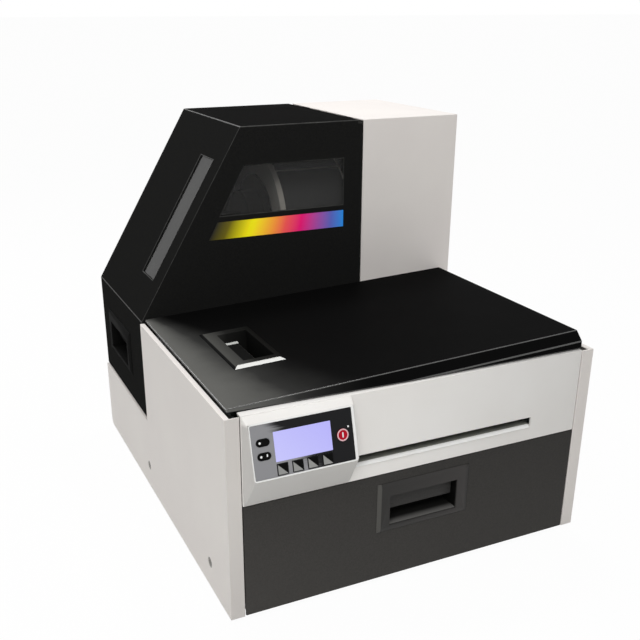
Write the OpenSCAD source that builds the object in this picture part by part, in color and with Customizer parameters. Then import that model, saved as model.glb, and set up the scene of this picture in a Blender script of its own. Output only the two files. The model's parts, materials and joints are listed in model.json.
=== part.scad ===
// Digital label press: desktop body with a control pod, front door, top cover and a roll tower.
// Depths run back from the front plane of the side panels, heights up from their lower edge.

/* [Body] */
// Width over the side panels
body_w = 480; // [470:1:520]
// Depth from the front plane to the back
body_d = 560; // [550:1:600]
// Height of the side panels
side_h = 248; // [244:1:262]
// Height of the rubber feet
foot_h = 8; // [6:0.5:14]
// Radius of a foot
foot_r = 14; // [8:1:20]
// Inset of the feet from the sides, front and back
foot_inset = 40; // [30:1:70]
// Thickness of the folded sheet
sheet_t = 2; // [1.2:0.1:2.4]
// Width of the front returns of the side panels
flange_w = 17; // [15:0.5:20]
// Width of the top returns of the side panels
lip_w = 6.5; // [6:0.5:9]
// Radius of the lower rear corners of the side panels
corner_r = 12; // [4:1:30]
// Running gap between neighbouring panels
panel_gap = 1; // [0.6:0.1:2]
// Head radius of the side screws
screw_r = 6.5; // [4:0.5:7]
// Height of the side screws
screw_h = 35; // [25:1:60]
// Depth of the front side screw
screw_d1 = 68; // [60:1:120]
// Depth of the rear side screw
screw_d2 = 327; // [250:1:400]

/* [Chassis] */
// Depth at which the base tray starts
tray_d = 24; // [23:1:30]
// How far the chassis walls end below the side panels' top
wall_drop = 10; // [9:1:28]
// Width of the shelf angles
ledge_w = 15; // [8:1:25]

/* [Front door] */
// Thickness of the door's front plate
door_t = 2.5; // [2:0.1:3.5]
// Depth of the door's folded sides
door_d = 18; // [12:0.5:20]
// Hinge axis of the door, behind its face and above the lower edge
door_axis = 10; // [10:0.5:11]
// Radius of the door's hinge barrels
door_barrel_r = 6; // [5:0.25:6.5]
// Distance of the door hinges from the door's edges
door_hinge_in = 11; // [11:1:40]
// How far the middle of the door's pull sits below the door's top
door_pull_drop = 44; // [38:1:60]

/* [Flush pulls] */
// Length of a pull's bezel
bezel_l = 125; // [116:1:132]
// Height of a pull's bezel
bezel_h = 64; // [60:1:70]
// Thickness of a pull's bezel
bezel_t = 2.5; // [1.5:0.1:3.5]
// Width of the sloping edge of the bezel
bezel_slope = 5; // [2:0.5:6]
// Length of the finger pocket
pocket_l = 92; // [80:1:100]
// Height of the finger pocket
pocket_h = 38.6; // [34:0.2:42]
// How far the pocket sits below the middle of the bezel
pocket_drop = 4.7; // [0:0.1:7]
// Depth of the pull's cup
cup_d = 30; // [24:1:32]
// Wall of the pull's cup
cup_t = 2.4; // [1.6:0.1:3]
// Height of the pull's flap
flap_h = 22; // [16:0.5:25]
// Thickness of the flap
flap_t = 3; // [2:0.1:4]
// How far the flap sits inside the bezel's face
flap_in = 9; // [7:0.5:11]
// Radius of the flap's trunnions
trunnion_r = 2; // [1.5:0.1:2.5]

/* [Fascia] */
// Height of the label exit slot
slot_h = 10.5; // [8:0.5:14]
// How far the middle of the slot sits below the pod's face
slot_drop = 15; // [12:0.5:16]
// Gap between the pod's face and the left end of the slot
slot_gap = 3; // [3:0.5:26]
// Distance of the slot's right end from the fascia's edge
slot_in = 68; // [66:1:102]
// How far the fascia reaches below the middle of the slot
fascia_drop = 25; // [23:0.5:28]
// Thickness of the fascia
fascia_t = 3; // [2:0.1:4]
// Depth of the chute behind the slot
chute_d = 56; // [30:1:58]

/* [Control pod] */
// How far the pod stands out at its lower edge
nose_out = 24; // [20:1:28]
// How far the pod stands out at its upper edge
brow_out = 8; // [5:0.5:10]
// How far the pod's face ends below the fascia's top
brow_drop = 8; // [7:0.5:11]
// Upright height of the pod's face
face_rise = 59; // [58.5:0.5:61]
// Distance of the pod's face from the fascia's left edge
pod_in = 5; // [5:0.5:8]
// Length of the pod's face
face_l = 121; // [119:0.5:122]
// Length of the overlay
overlay_l = 116.5; // [112:0.5:118]
// Height of the overlay
overlay_h = 58; // [56:0.2:59]
// Thickness of the overlay
overlay_t = 1; // [0.6:0.1:1.4]
// Length of the display glass
lcd_l = 66; // [60:0.5:67]
// Height of the display glass
lcd_h = 32.3; // [28:0.1:32.4]
// Side of a soft key
key_w = 12.4; // [10:0.1:12.4]
// Spacing of the soft keys
key_pitch = 17.4; // [16.4:0.1:18]
// Radius of the power button
power_r = 6.8; // [5:0.1:7.2]
// Length of a menu key
menu_l = 15; // [12:0.5:16]
// Height of a menu key
menu_h = 8; // [6:0.2:9]
// Travel of the keys and buttons
key_travel = 0.8; // [0.4:0.1:0.8]

/* [Top cover] */
// Height of the cover at its left edge
lid_left_h = 3; // [2.6:0.1:5]
// Height of the cover at its right edge
lid_right_h = 20.5; // [16:0.5:24]
// Distance of the front crease from the front plane
lid_crease = 14; // [12:0.5:18]
// Front edge of the cover
lid_front = 3; // [1:0.5:6]
// Radius of the cover's hinge barrels
lid_barrel_r = 3.5; // [3:0.1:3.5]
// Pull's distance from the cover's left edge
lid_pull_in = 76.5; // [74:0.5:110]
// Pull's distance from the front plane
lid_pull_d = 167; // [120:1:230]

/* [Tower] */
// Height of the tower above the side panels
tower_h = 245; // [236:1:262]
// Depth of the tower
tower_d = 237; // [230:1:238]
// Where the black cover meets the white housing
split_x = 88; // [84:0.5:100]
// Left end of the tower's flat top
slant_x = -91; // [-100:1:-80]
// How far the cover's left wall hangs below the side panels' top
cover_drop = 141; // [136:1:142]
// Width of the end walls beside the hanging left wall
cover_ear = 34; // [32:0.5:35]
// Radius of the cover's hinge barrels
cover_barrel_r = 3.2; // [2.6:0.1:3.4]
// Pull's distance behind the tower's front
cover_pull_d = 133.5; // [120:0.5:150]
// Height of the middle of the pull above the cover's lower edge
cover_pull_up = 72; // [66:0.5:75]
// Thickness of the window panes
pane_t = 2; // [1:0.1:3]
// Overlap of a pane on its frame
pane_lap = 5; // [3:0.5:6]
// How far the front window sits below the tower's top
win_drop = 50; // [43:1:68]
// Height of the front window
win_h = 63; // [50:1:70]
// Distance of the window's lower left corner from the slanted edge
win_in_low = 36.8; // [34:0.2:48]
// Distance of the window's upper left corner from the slanted edge
win_in_high = 34; // [32:0.2:50]
// Distance of the window and the colour band from the cover's right edge
win_right = 28.5; // [22:0.5:47]
// Gap between the window and the colour band
band_gap = 8; // [7:0.5:18]
// Height of the colour band
band_h = 23; // [10:0.5:32]
// Thickness of the colour band's film
band_t = 0.4; // [0.2:0.05:0.6]
// Width of the narrow window
strip_w = 51; // [35:1:55]
// Distance of the narrow window from the tower's front
strip_d = 32; // [25:1:60]
// Lower end of the narrow window, along the slanted wall
strip_s1 = 54; // [40:1:80]
// Upper end of the narrow window, along the slanted wall
strip_s2 = 232; // [160:1:240]

/* [Label roll] */
// Outer radius of the roll
roll_r = 97; // [70:1:98]
// Width of the roll
roll_w = 108; // [60:1:110]
// Left face of the roll
roll_x = -24; // [-26:1:-10]
// Inner radius of the core
core_r = 38; // [36:0.5:40]
// Wall of the core
core_t = 4; // [2:0.5:5]
// Depth of the spindle's axis behind the tower's front
spindle_d = 119; // [115:1:122]
// Room under the largest roll
roll_clear = 6; // [5:1:13]
// Radius of the spindle
spindle_r = 10; // [8:0.5:12]
// Radius of the guide flange
flange_r = 66; // [50:1:80]
// Radius of the spindle's knob
knob_r = 20; // [16:0.5:22]
// Length of the flange's sleeve and knob
sleeve_l = 108; // [80:1:110]

/* [Print engine] */
// Distance of the feed roller from the front plane
feed_d = 70; // [69:0.5:74]
// Radius of the feed roller
feed_r = 9; // [7:0.25:9]
// Radius of the pinch roller
pinch_r = 7.5; // [6:0.25:8]
// Gap between the rollers for the label stock
nip = 0.3; // [0.3:0.05:0.5]
// Radius of the feed roller's journals
journal_r = 4; // [3:0.25:5]
// Distance of the left upright from the slot
upright_in1 = 15; // [10:1:19]
// Distance of the right upright from the slot
upright_in2 = 14; // [12:1:20]
// Distance of the rollers' sleeves from the left upright
sleeve_in1 = 18; // [8:1:30]
// Distance of the rollers' sleeves from the right upright
sleeve_in2 = 26; // [24:1:40]
// Thickness of the uprights
upright_t = 4; // [3:0.5:5]
// Teeth of the feed gear
gear_teeth = 48; // [48:16:48]
// Teeth of the motor's pinion
pinion_teeth = 16; // [16:16:16]
// Gear module
gear_m = 1; // [0.95:0.05:1.05]
// Width of the gears
gear_w = 8; // [5:0.5:10]
// Radius of the feed motor
motor_r = 14; // [10:0.5:15]
// Length of the feed motor
motor_l = 20; // [12:1:21]
// Depth of the print head's middle
head_d = 151; // [145:1:170]
// Distance of the print head's nose from the uprights
head_in = 26; // [24:1:45]

/* [Ink] */
// Width of an ink tank
tank_w = 71; // [60:0.5:74]
// Room over the ink tanks
tank_clear = 23.7; // [13:0.1:56]
// Depth of an ink tank
tank_d = 160; // [120:1:180]
// How far a tank slides out behind the closed door
tank_slide = 20; // [10:1:22]

/* [Electronics] */
// Side of the cooling fan
fan_w = 80; // [60:1:92]
// Fan's distance from the middle, to the left
fan_x = 60; // [40:1:90]
// Height of the fan's middle
fan_h = 120; // [100:1:150]
// Width of the power inlet
inlet_w = 48; // [40:1:56]
// Height of the power inlet
inlet_h = 28; // [24:1:34]
// Distance of the inlet's middle from the right chassis wall
inlet_in = 64; // [52:1:82]

/* [Hidden] */
$fn = 64;

// Clearances: sliding fit, running fit of shafts, and how far a cut runs past a face
fit = 0.3;
run = 0.05;
cut = 1;

// Body planes
front_y = -(body_d - nose_out) / 2;
half_w = body_w / 2;
open_x = half_w - flange_w;
wall_x = open_x - panel_gap;
tower_front = body_d - tower_d;
tray_h = sheet_t;
tray_top = tray_h + sheet_t;
rear_face = body_d - sheet_t;
rear_wall = rear_face - 2 * sheet_t;
rear_lap = 8;
wall_h = side_h - wall_drop;
wall_step = 8;
foot_taper = 1.5;

// Side screws
boss_r = screw_r + 2;
shank_r = 2;
screw_head_t = sheet_t * 0.6;
screw_slot_w = 1.2;
screw_slot_t = screw_head_t * 0.8;
screw_tip = 3;

// Door, fascia and pod, stacked down from the fascia's top
door_half = open_x - panel_gap;
fascia_top = side_h + panel_gap;
face_high = fascia_top - brow_drop;
face_low = face_high - face_rise;
face_x1 = -(door_half - pod_in);
face_x2 = face_x1 + face_l;
slot_mid = face_low - slot_drop;
slot_low = slot_mid - slot_h / 2;
slot_high = slot_mid + slot_h / 2;
slot_x1 = face_x2 + slot_gap;
slot_x2 = door_half - slot_in;
fascia_low = slot_mid - fascia_drop;
fascia_return = 11;
pod_open_low = 6;
pod_open_high = 4;
pod_open = [face_low - pod_open_low, face_high - pod_open_high];
door_low = panel_gap;
door_top = fascia_low - panel_gap;
door_hinge_x = door_half - door_hinge_in;
door_pin_r = 3;
door_lug_w = 6;
door_knuckle_w = 6;
door_pin_half = door_lug_w / 2 + fit + door_knuckle_w;
lug_foot = 12;
shelf_h = fascia_low + 2 * sheet_t;
shelf_low = shelf_h - sheet_t;
shelf_front = tray_d + sheet_t;
ledge_lap = 8;
ledge_rear = shelf_front + ledge_lap;

// Pulls
bezel_edge = 0.5;
pocket_low = -pocket_drop - pocket_h / 2;
pocket_high = -pocket_drop + pocket_h / 2;
flap_axis_v = pocket_high - 2 * trunnion_r;
flap_axis_w = -flap_in - flap_t / 2;
flap_top = pocket_high - flap_t / 2;
flap_low = flap_top - flap_h;
flap_gap = 1;
door_pull_x = 4.5;
door_pull_h = door_top - door_pull_drop;

// Control pod
face_tilt = atan2(nose_out - brow_out, face_high - face_low);
face_x = (face_x1 + face_x2) / 2;
face_out = (nose_out + brow_out) / 2;
face_h = (face_low + face_high) / 2;
pod_splay = [2, 1.5];
pod_floor_u = 56;
pod_floor_v = 29.2;
pod_deep = 70;
overlay_sink = 0.6;
overlay_u = -1.2;
overlay_back = -overlay_sink - overlay_t;
floor_w = -4;
board_w = -10.4;
board_t = 1.6;
board_u = 55;
board_v = 25;
lcd_u = -1.4;
lcd_v = 2.6;
lcd_rim = 3;
key_u = lcd_u - 1.5 * key_pitch - 0.3;
key_v = -21.9;
power_u = 44.6;
power_v = 0.5;
menu_u = -46.6;
menu_v = [9.8, -4.8];
key_top = -0.1;
key_rim = 1;
key_rim_w = floor_w - 0.4;
key_rim_t = 1;
key_foot = key_rim_w - key_rim_t;
switch_w = 5;
switch_t = 0.8;
switch_gap = 0.2;
stem_r = 2;
stem_end = board_w + switch_t + switch_gap + key_travel;
post_r = 2.5;
post_u = 53;
post_v = 23;

// Top cover
lid_x1 = -(half_w - lip_w - panel_gap / 2);
lid_x2 = open_x;
lid_low = fascia_top + panel_gap;
lid_rear = tower_front - 2 * panel_gap;
lid_tilt = atan2(lid_right_h - lid_left_h, lid_x2 - lid_x1);
lid_solid = 16;
lid_hinge_gap = 0.6;
lid_axis_x = lid_x2 + lid_hinge_gap + lid_barrel_r;
lid_axis_h = lid_low + lid_barrel_r;
lid_pin_r = 2;
lid_knuckle_w = 24;
lid_hinge_d = [70, 250];
lid_lug_drop = 12;
lid_pull_x = lid_x1 + lid_pull_in;
lid_pull_z = lid_top(lid_pull_x);

// Tower
top_h = side_h + tower_h;
cover_x1 = -(half_w - bezel_t);
cover_low = side_h - cover_drop;
cover_pull_h = cover_low + cover_pull_up;
slant_low = side_h + panel_gap;
slant_a = atan2(top_h - slant_low, slant_x - cover_x1);
split_gap = 0.5;
cover_edge = split_x - split_gap;
housing_x = split_x + split_gap;
cover_axis_x = housing_x - fit - cover_barrel_r;
cover_axis_h = top_h - cover_barrel_r - fit;
cover_lip_x = cover_axis_x - cover_barrel_r - 2 * fit;
cover_notch_h = cover_axis_h - fit;
cover_pin_r = 1.6;
cover_knuckle_w = 20;
cover_knuckle_in = 4;
cover_hinge_d = [50, 190];
cover_wall_low = side_h + 4;
ear_x = cover_x1 + cover_ear;
hinge_shelf_t = 1.5;
hinge_shelf_h = cover_axis_h - cover_barrel_r - fit;
hinge_shelf_x = cover_lip_x - 3;
bay_wall_x = housing_x + split_gap;
bay_wall_t = 3;
bay_wall_x2 = bay_wall_x + bay_wall_t;
bay_front = tower_front + 2 * sheet_t;
bay_floor_h = wall_h + sheet_t;
bay_floor_low = bay_floor_h - 2 * sheet_t;
bay_liner_x = ear_x + 3;
liner_foot_h = cover_low - 2 * sheet_t;
win_high = top_h - win_drop;
win_low = win_high - win_h;
win_x1 = slant_at(win_low) + win_in_low;
win_x2 = slant_at(win_high) + win_in_high;
win_x3 = cover_edge - win_right;
band_high = win_low - band_gap;
band_low = band_high - band_h;
vents = 7;
vent_in = 30;
vent_l = 60;
vent_x = [half_w - vent_in - vent_l, half_w - vent_in];
vent_up = 120;
vent_h = side_h + vent_up;
vent_pitch = 10;
vent_w = 4;

// Roll
axis_d = tower_front + spindle_d;
spindle_h = bay_floor_h + roll_clear + roll_r;
roll_x2 = roll_x + roll_w;
core_out = core_r + core_t;
sleeve_x1 = roll_x - sleeve_l;
flange_t = 4;
flange_x = roll_x - flange_t;
knob_l = 28;
knob_end = 6;
boss_l = 22;
boss_out = core_out + 2;
sleeve_t = 4;
hub_in = 6;
shoulder_r = spindle_r + 6;
bearing_r = 28;
bearing_l = 32;
bearing_flange_r = bearing_r + 10;
bearing_flange_t = 6;
bearing_end = 2;

// Print engine
path_h = slot_mid;
feed_h = path_h - feed_r;
pinch_h = path_h + nip + pinch_r;
pinch_journal_r = 3;
journal_out = 3;
mesh_a = 52.5;
mesh_r = gear_m * (gear_teeth + pinion_teeth) / 2;
gear_slot_r = gear_m * (gear_teeth / 2 + 2.5);
motor_d = feed_d + mesh_r * cos(mesh_a);
motor_h = feed_h + mesh_r * sin(mesh_a);
motor_shaft_r = 2.5;
motor_pilot_r = motor_shaft_r + 2;
motor_cap = 4;
upright_x1 = slot_x1 - upright_in1;
upright_x2 = slot_x2 + upright_in2;
sleeve_x = [upright_x1 + sleeve_in1, upright_x2 - sleeve_in2];
gear_gap = 2;
gear_x = upright_x2 + upright_t + gear_gap;
platen_t = 4;
platen_drop = 0.5;
platen_gap = 6;
platen_front = feed_d + feed_r + platen_gap;
upright_lead = 26;
upright_front = feed_d - upright_lead;
engine_gap = 20;
engine_rear = tower_front - engine_gap;
upright_drop = 4;
upright_top = wall_h - upright_drop;
head_gap = 1.5;
head_low = path_h + head_gap;
nose_h = 14.5;
bridge_h = 26;
bridge_low = head_low + nose_h;
bridge_top = bridge_low + bridge_h;
bridge_half = 21;
head_half = 12.6;

// Ink
tanks = 5;
rib_t = 2;
tank_pitch = tank_w + 2 * fit + rib_t;
tank_tab_d = 6;
tank_tab_h = 10;
tank_tab_drop = 14;
tank_gap = 4;
tank_front = cup_d + tank_slide + tank_tab_d + tank_gap;
rack_floor = 4;
rack_wall = 4;
tank_low = tray_top + rack_floor + fit;
tank_h = shelf_low - tank_clear - tank_low;
nozzle_r = 5;
nozzle_l = 8;
nozzle_up = 28;
nozzle_h = tank_low + nozzle_up;
rack_w = tanks * tank_pitch + rib_t;
rack_front = tank_front - tank_tab_d;
rack_back = tank_front + tank_d + nozzle_l - fit;
rack_rear = rack_back + rack_wall;

// Electronics
fan_d = 25;
fan_front = rear_wall - fan_d;
fan_wall = 2;
fan_r = fan_w / 2 - fan_wall;
fan_shaft_r = 2;
hub_r = 16;
spider_t = 5;
spider_arm_t = 3;
spider_w = 4;
blades = 7;
blade_tilt = 35;
blade_w = 18;
blade_t = 1.6;
rotor_gap = 2;
rotor_front = fan_front + spider_t + rotor_gap / 2;
grille_pitch = 5;
grille_w = 3.2;
inlet_x = wall_x - inlet_in;
psu_gap = 6;
psu_l = 114;
psu_x = [wall_x - sheet_t - psu_gap - psu_l, wall_x - sheet_t - psu_gap];
psu_in = 30;
psu_d = [tower_front + psu_in, rear_wall - psu_in];
psu_h = 62;
psu_top = tray_top + psu_h;
psu_vents = 8;
psu_vent_pitch = 16;
psu_vent_w = 8;
inlet_mid = 92;
inlet_deep = 24;
inlet_rim = 4;
inlet_wall = 5;
inlet_floor = 8;
contact_pitch = 7;
contact_w = 2;
contact_h = 8;
board_gap = 6;
board_x = bay_wall_x2 + board_gap;
main_in = 20;
main_d = [tower_front + main_in, body_d - main_in];
main_up = 12;
main_w = 50;
main_h = [bay_floor_h + main_up, bay_floor_h + main_up + main_w];
standoff_r = 3;
standoff_in = 8;
sink_in = 60;
sink_l = 40;
sink_d = [tower_front + sink_in, tower_front + sink_in + sink_l];
sink_t = 6;
port_w = 22;
port_x = [board_x + board_t, board_x + board_t + port_w];
port_up = 22;
port_tall = 16;
port_h = [bay_floor_h + port_up, bay_floor_h + port_up + port_tall];
port_l = 40;
port_wall = 3;
port_deep = 12;

// Top of the top cover above the body's lower edge, at a place across the width
function lid_top(x) =
  lid_low + lid_left_h + (x - lid_x1) * (lid_right_h - lid_left_h) / (lid_x2 - lid_x1);

// Place of the slanted edge across the width, at a height
function slant_at(h) = cover_x1 + (h - slant_low) * (slant_x - cover_x1) / (top_h - slant_low);

// Half the angle of an involute tooth at a radius, for a gear of n teeth
pressure_a = 20;
function involute(a) = tan(a) * 180 / PI - a;
function tooth_half(r, n) =
  let (rp = gear_m * n / 2, rb = rp * cos(pressure_a))
    (gear_m * PI / 2 - fit) / 2 / rp * 180 / PI + involute(pressure_a) - involute(acos(min(1, rb / r)));
function tooth_radii(n) =
  let (rp = gear_m * n / 2)
    [rp - 1.3 * gear_m, rp * cos(pressure_a), rp, rp + 0.8 * gear_m];
function gear_outline(n) =
  [for (i = [0 : n - 1]) each concat(
    [for (r = tooth_radii(n)) let (a = 360 * i / n - tooth_half(r, n)) r * [cos(a), sin(a)]],
    [for (j = [3 : -1 : 0])
      let (r = tooth_radii(n)[j], a = 360 * i / n + tooth_half(r, n)) r * [cos(a), sin(a)]])];

// A block given by its ranges across, in depth and in height
module block(x, d, h) {
  translate([x[0], front_y + d[0], foot_h + h[0]])
    cube([x[1] - x[0], d[1] - d[0], h[1] - h[0]]);
}

// A rod across the width, at a depth and a height
module rod_x(x, d, h, r) {
  translate([x[0], front_y + d, foot_h + h])
    rotate([0, 90, 0])
      cylinder(h = x[1] - x[0], r = r);
}

// A rod from front to back
module rod_y(x, d, h, r) {
  translate([x, front_y + d[1], foot_h + h])
    rotate([90, 0, 0])
      cylinder(h = d[1] - d[0], r = r);
}

// A side outline of depth and height, carried across the width
module across(x) {
  translate([x[0], front_y, foot_h])
    rotate([90, 0, 90])
      linear_extrude(x[1] - x[0])
        children();
}

// A front outline of width and height, carried from front to back
module deep(d) {
  translate([0, front_y + d[1], foot_h])
    rotate([90, 0, 0])
      linear_extrude(d[1] - d[0])
        children();
}

// What stands at the right, and its mirror image at the left
module both_sides() {
  children();
  mirror([1, 0, 0])
    children();
}

// Frames of the faces that carry fittings: length, height and outward distance
module on_door() {
  translate([door_pull_x, front_y, foot_h + door_pull_h])
    rotate([90, 0, 0])
      children();
}

module on_lid() {
  translate([lid_pull_x, front_y + lid_pull_d, foot_h + lid_pull_z])
    rotate([0, -lid_tilt, 0])
      rotate([0, 0, 90])
        children();
}

module on_cover() {
  translate([cover_x1, front_y + tower_front + cover_pull_d, foot_h + cover_pull_h])
    rotate([90, 0, -90])
      children();
}

module on_face() {
  translate([face_x, front_y - face_out, foot_h + face_h])
    rotate([90 - face_tilt, 0, 0])
      children();
}

module on_slant() {
  translate([cover_x1, front_y + tower_front, foot_h + slant_low])
    rotate([0, -slant_a, 0])
      children();
}

// A block in a face's frame, given by its ranges
module slab(u, v, w) {
  translate([u[0], v[0], w[0]])
    cube([u[1] - u[0], v[1] - v[0], w[1] - w[0]]);
}

// A block in a face's frame, given by its middle, sizes and outward range
module pad(mid, size, w) {
  slab([mid[0] - size[0] / 2, mid[0] + size[0] / 2], [mid[1] - size[1] / 2, mid[1] + size[1] / 2], w);
}

// Flush pull: cup with a sloped bezel, and the flap that turns in it
module bezel_plate() {
  intersection() {
    translate([0, bezel_h / 2, 0])
      rotate([90, 0, 0])
        linear_extrude(bezel_h)
          bezel_outline(bezel_l);
    translate([-bezel_l / 2, 0, 0])
      rotate([90, 0, 90])
        linear_extrude(bezel_l)
          bezel_outline(bezel_h);
  }
}

module bezel_outline(l) {
  polygon([[-l / 2, 0], [l / 2, 0], [l / 2, bezel_edge], [l / 2 - bezel_slope, bezel_t],
    [-l / 2 + bezel_slope, bezel_t], [-l / 2, bezel_edge]]);
}

module cup_outer(gap, w) {
  slab([-pocket_l / 2 - cup_t - gap, pocket_l / 2 + cup_t + gap],
    [pocket_low - cup_t - gap, pocket_high + cup_t + gap], w);
}

module pull_cup() {
  difference() {
    union() {
      bezel_plate();
      cup_outer(0, [-cup_d, bezel_edge]);
    }
    slab([-pocket_l / 2, pocket_l / 2], [pocket_low, pocket_high], [-cup_d + cup_t, bezel_t + cut]);
    trunnions(trunnion_r + run, pocket_l / 2 + cup_t + cut);
  }
}

module trunnions(r, half) {
  translate([-half, flap_axis_v, flap_axis_w])
    rotate([0, 90, 0])
      cylinder(h = 2 * half, r = r);
}

module pull_flap() {
  half = pocket_l / 2 - flap_gap;
  union() {
    slab([-half, half], [flap_low, flap_top], [-flap_in - flap_t, -flap_in]);
    slab([-half, half], [flap_low, flap_low + flap_t], [-flap_in - 2 * flap_t, -flap_in]);
    trunnions(trunnion_r, pocket_l / 2 + cup_t - fit);
  }
}

// Chassis: base tray with two walls, shelf angles, hinge lugs and screw bosses
module chassis() {
  color("#8d9296")
  difference() {
    union() {
      block([-half_w + sheet_t, half_w - sheet_t], [tray_d, rear_wall], [tray_h, tray_top]);
      chassis_wall_left();
      block([wall_x - sheet_t, wall_x], [tray_d, rear_wall], [tray_top, wall_h]);
      both_sides() {
        shelf_angle([tray_d, tower_front], shelf_low);
        door_lug();
        for (d = [screw_d1, screw_d2])
          rod_x([wall_x, half_w - sheet_t], d, screw_h, boss_r);
      }
      shelf_angle([tower_front, rear_wall], bay_floor_low);
      for (d = lid_hinge_d)
        lid_lug(d);
    }
    both_sides() {
      door_pin(door_lug_w, door_pin_r + run);
      for (d = [screw_d1, screw_d2])
        rod_x([wall_x - 2 * sheet_t, half_w], d, screw_h, shank_r + run);
    }
    for (d = lid_hinge_d)
      rod_y(lid_axis_x, [d - lid_knuckle_w, d + lid_knuckle_w], lid_axis_h, lid_pin_r + run);
  }
}

// The left wall is low beside the roll tower, and ends there in a ledge for the bay's liner
module chassis_wall_left() {
  block([-wall_x, -wall_x + sheet_t], [tray_d, tower_front - wall_step], [tray_top, wall_h]);
  block([-wall_x, -wall_x + sheet_t], [tray_d, rear_wall], [tray_top, liner_foot_h]);
  block([-wall_x, bay_liner_x + sheet_t], [tower_front, rear_wall], [liner_foot_h - sheet_t, liner_foot_h]);
}

module shelf_angle(d, h) {
  block([wall_x - sheet_t - ledge_w, wall_x - sheet_t], d, [h - sheet_t, h]);
}

// Lug of a door hinge, on a foot on the tray
module door_lug() {
  x = [door_hinge_x - door_lug_w / 2, door_hinge_x + door_lug_w / 2];
  rod_x(x, door_axis, door_axis, door_barrel_r);
  block(x, [door_axis, tray_d + lug_foot], [door_axis - door_barrel_r, door_axis + door_barrel_r]);
  block(x, [tray_d, tray_d + lug_foot], [tray_h, door_axis]);
}

module door_pin(half, r) {
  rod_x([door_hinge_x - half, door_hinge_x + half], door_axis, door_axis, r);
}

module lid_lug(d) {
  span = [d, d + lid_knuckle_w];
  edge = lid_axis_x + lid_barrel_r;
  rod_y(lid_axis_x, span, lid_axis_h, lid_barrel_r);
  block([lid_axis_x - lid_barrel_r, edge], span, [wall_h - lid_lug_drop, lid_axis_h]);
  block([wall_x - sheet_t, edge], span, [wall_h - lid_lug_drop, wall_h]);
}

// Engine frame: shelf with two uprights for the rollers, head and platen, and a slot for the gear
module engine_frame() {
  through = [upright_x1 - upright_t - cut, upright_x2 + upright_t + cut];
  color("#9a9fa3")
  difference() {
    union() {
      block([-wall_x + sheet_t, wall_x - sheet_t], [shelf_front, tower_front - sheet_t],
        [shelf_low, shelf_h]);
      block([upright_x1 - upright_t, upright_x1], [upright_front, engine_rear], [shelf_h, upright_top]);
      block([upright_x2, upright_x2 + upright_t], [upright_front, engine_rear], [shelf_h, upright_top]);
    }
    rod_x(through, feed_d, feed_h, journal_r + run);
    rod_x(through, feed_d, pinch_h, pinch_journal_r + run);
    rod_x([upright_x2 - cut, upright_x2 + upright_t + cut], motor_d, motor_h, motor_pilot_r);
    block([gear_x - cut, gear_x + gear_w + cut], [feed_d - gear_slot_r, feed_d + gear_slot_r],
      [shelf_low - cut, shelf_h + cut]);
  }
}

// Side panels: folded white sheet with front, top, bottom and rear returns
module side_outline() {
  difference() {
    square([body_d, side_h]);
    translate([body_d - corner_r, 0])
      square([corner_r, corner_r]);
  }
  translate([body_d - corner_r, corner_r])
    circle(r = corner_r);
}

module side_panel(open_rear) {
  rear_h = open_rear ? cover_low - panel_gap : side_h;
  top_d = open_rear ? tower_front - panel_gap : body_d;
  difference() {
    union() {
      across([half_w - sheet_t, half_w])
        side_outline();
      block([open_x, half_w], [0, sheet_t], [0, side_h]);
      block([half_w - lip_w, half_w], [0, top_d], [side_h - sheet_t, side_h]);
      block([open_x, half_w], [0, body_d - corner_r], [0, sheet_t]);
      block([open_x, half_w], [body_d - sheet_t, body_d], [corner_r, rear_h]);
      if (open_rear)
        block([half_w - lip_w, half_w], [top_d, body_d], [rear_h - sheet_t, rear_h]);
    }
    if (open_rear)
      block([open_x - cut, half_w + cut], [top_d, body_d + cut], [rear_h, side_h + cut]);
    for (d = [screw_d1, screw_d2]) {
      rod_x([half_w - screw_head_t, half_w + cut], d, screw_h, screw_r + run);
      rod_x([half_w - sheet_t - cut, half_w + cut], d, screw_h, shank_r + run);
    }
  }
}

module left_side_panel() {
  color("#e8e6e2")
    mirror([1, 0, 0])
      side_panel(true);
}

module right_side_panel() {
  color("#e8e6e2")
    side_panel(false);
}

// Front fascia with the label exit slot and its chute
module front_fascia() {
  color("#e6e4e0")
  difference() {
    union() {
      block([-door_half, door_half], [0, fascia_t], [fascia_low, fascia_top]);
      block([-door_half, door_half], [0, fascia_return], [fascia_top - fascia_t, fascia_top]);
      block([-door_half, door_half], [0, ledge_rear], [fascia_low, shelf_low]);
      block([slot_x1, slot_x2], [0, chute_d], [slot_low - sheet_t, slot_low]);
      block([slot_x1, slot_x2], [0, chute_d / 2], [slot_high, slot_high + sheet_t]);
    }
    block([slot_x1, slot_x2], [-cut, fascia_t + cut], [slot_low, slot_high]);
    block([face_x - pod_floor_u, face_x + pod_floor_u], [-cut, fascia_return + cut], pod_open);
    both_sides()
      block([wall_x - sheet_t - ledge_w - fit, wall_x + cut], [tray_d - fit, ledge_rear + cut],
        [fascia_low - cut, shelf_h]);
  }
}

// Rear panel with the fan's grille and the inlet's cut-out
module rear_panel() {
  d = [rear_wall, rear_wall + sheet_t];
  through = [rear_wall - cut, rear_face];
  color("#dcdad6")
  difference() {
    union() {
      block([-wall_x, wall_x], d, [tray_h, liner_foot_h]);
      block([bay_liner_x, wall_x], d, [tray_h, side_h + rear_lap]);
    }
    intersection() {
      rod_y(-fan_x, through, fan_h, fan_r);
      for (i = [-floor(fan_r / grille_pitch) : floor(fan_r / grille_pitch)])
        block([-fan_x - fan_r, -fan_x + fan_r], through,
          [fan_h + i * grille_pitch - grille_w / 2, fan_h + i * grille_pitch + grille_w / 2]);
    }
    inlet_block(fit, through);
  }
}

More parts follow.
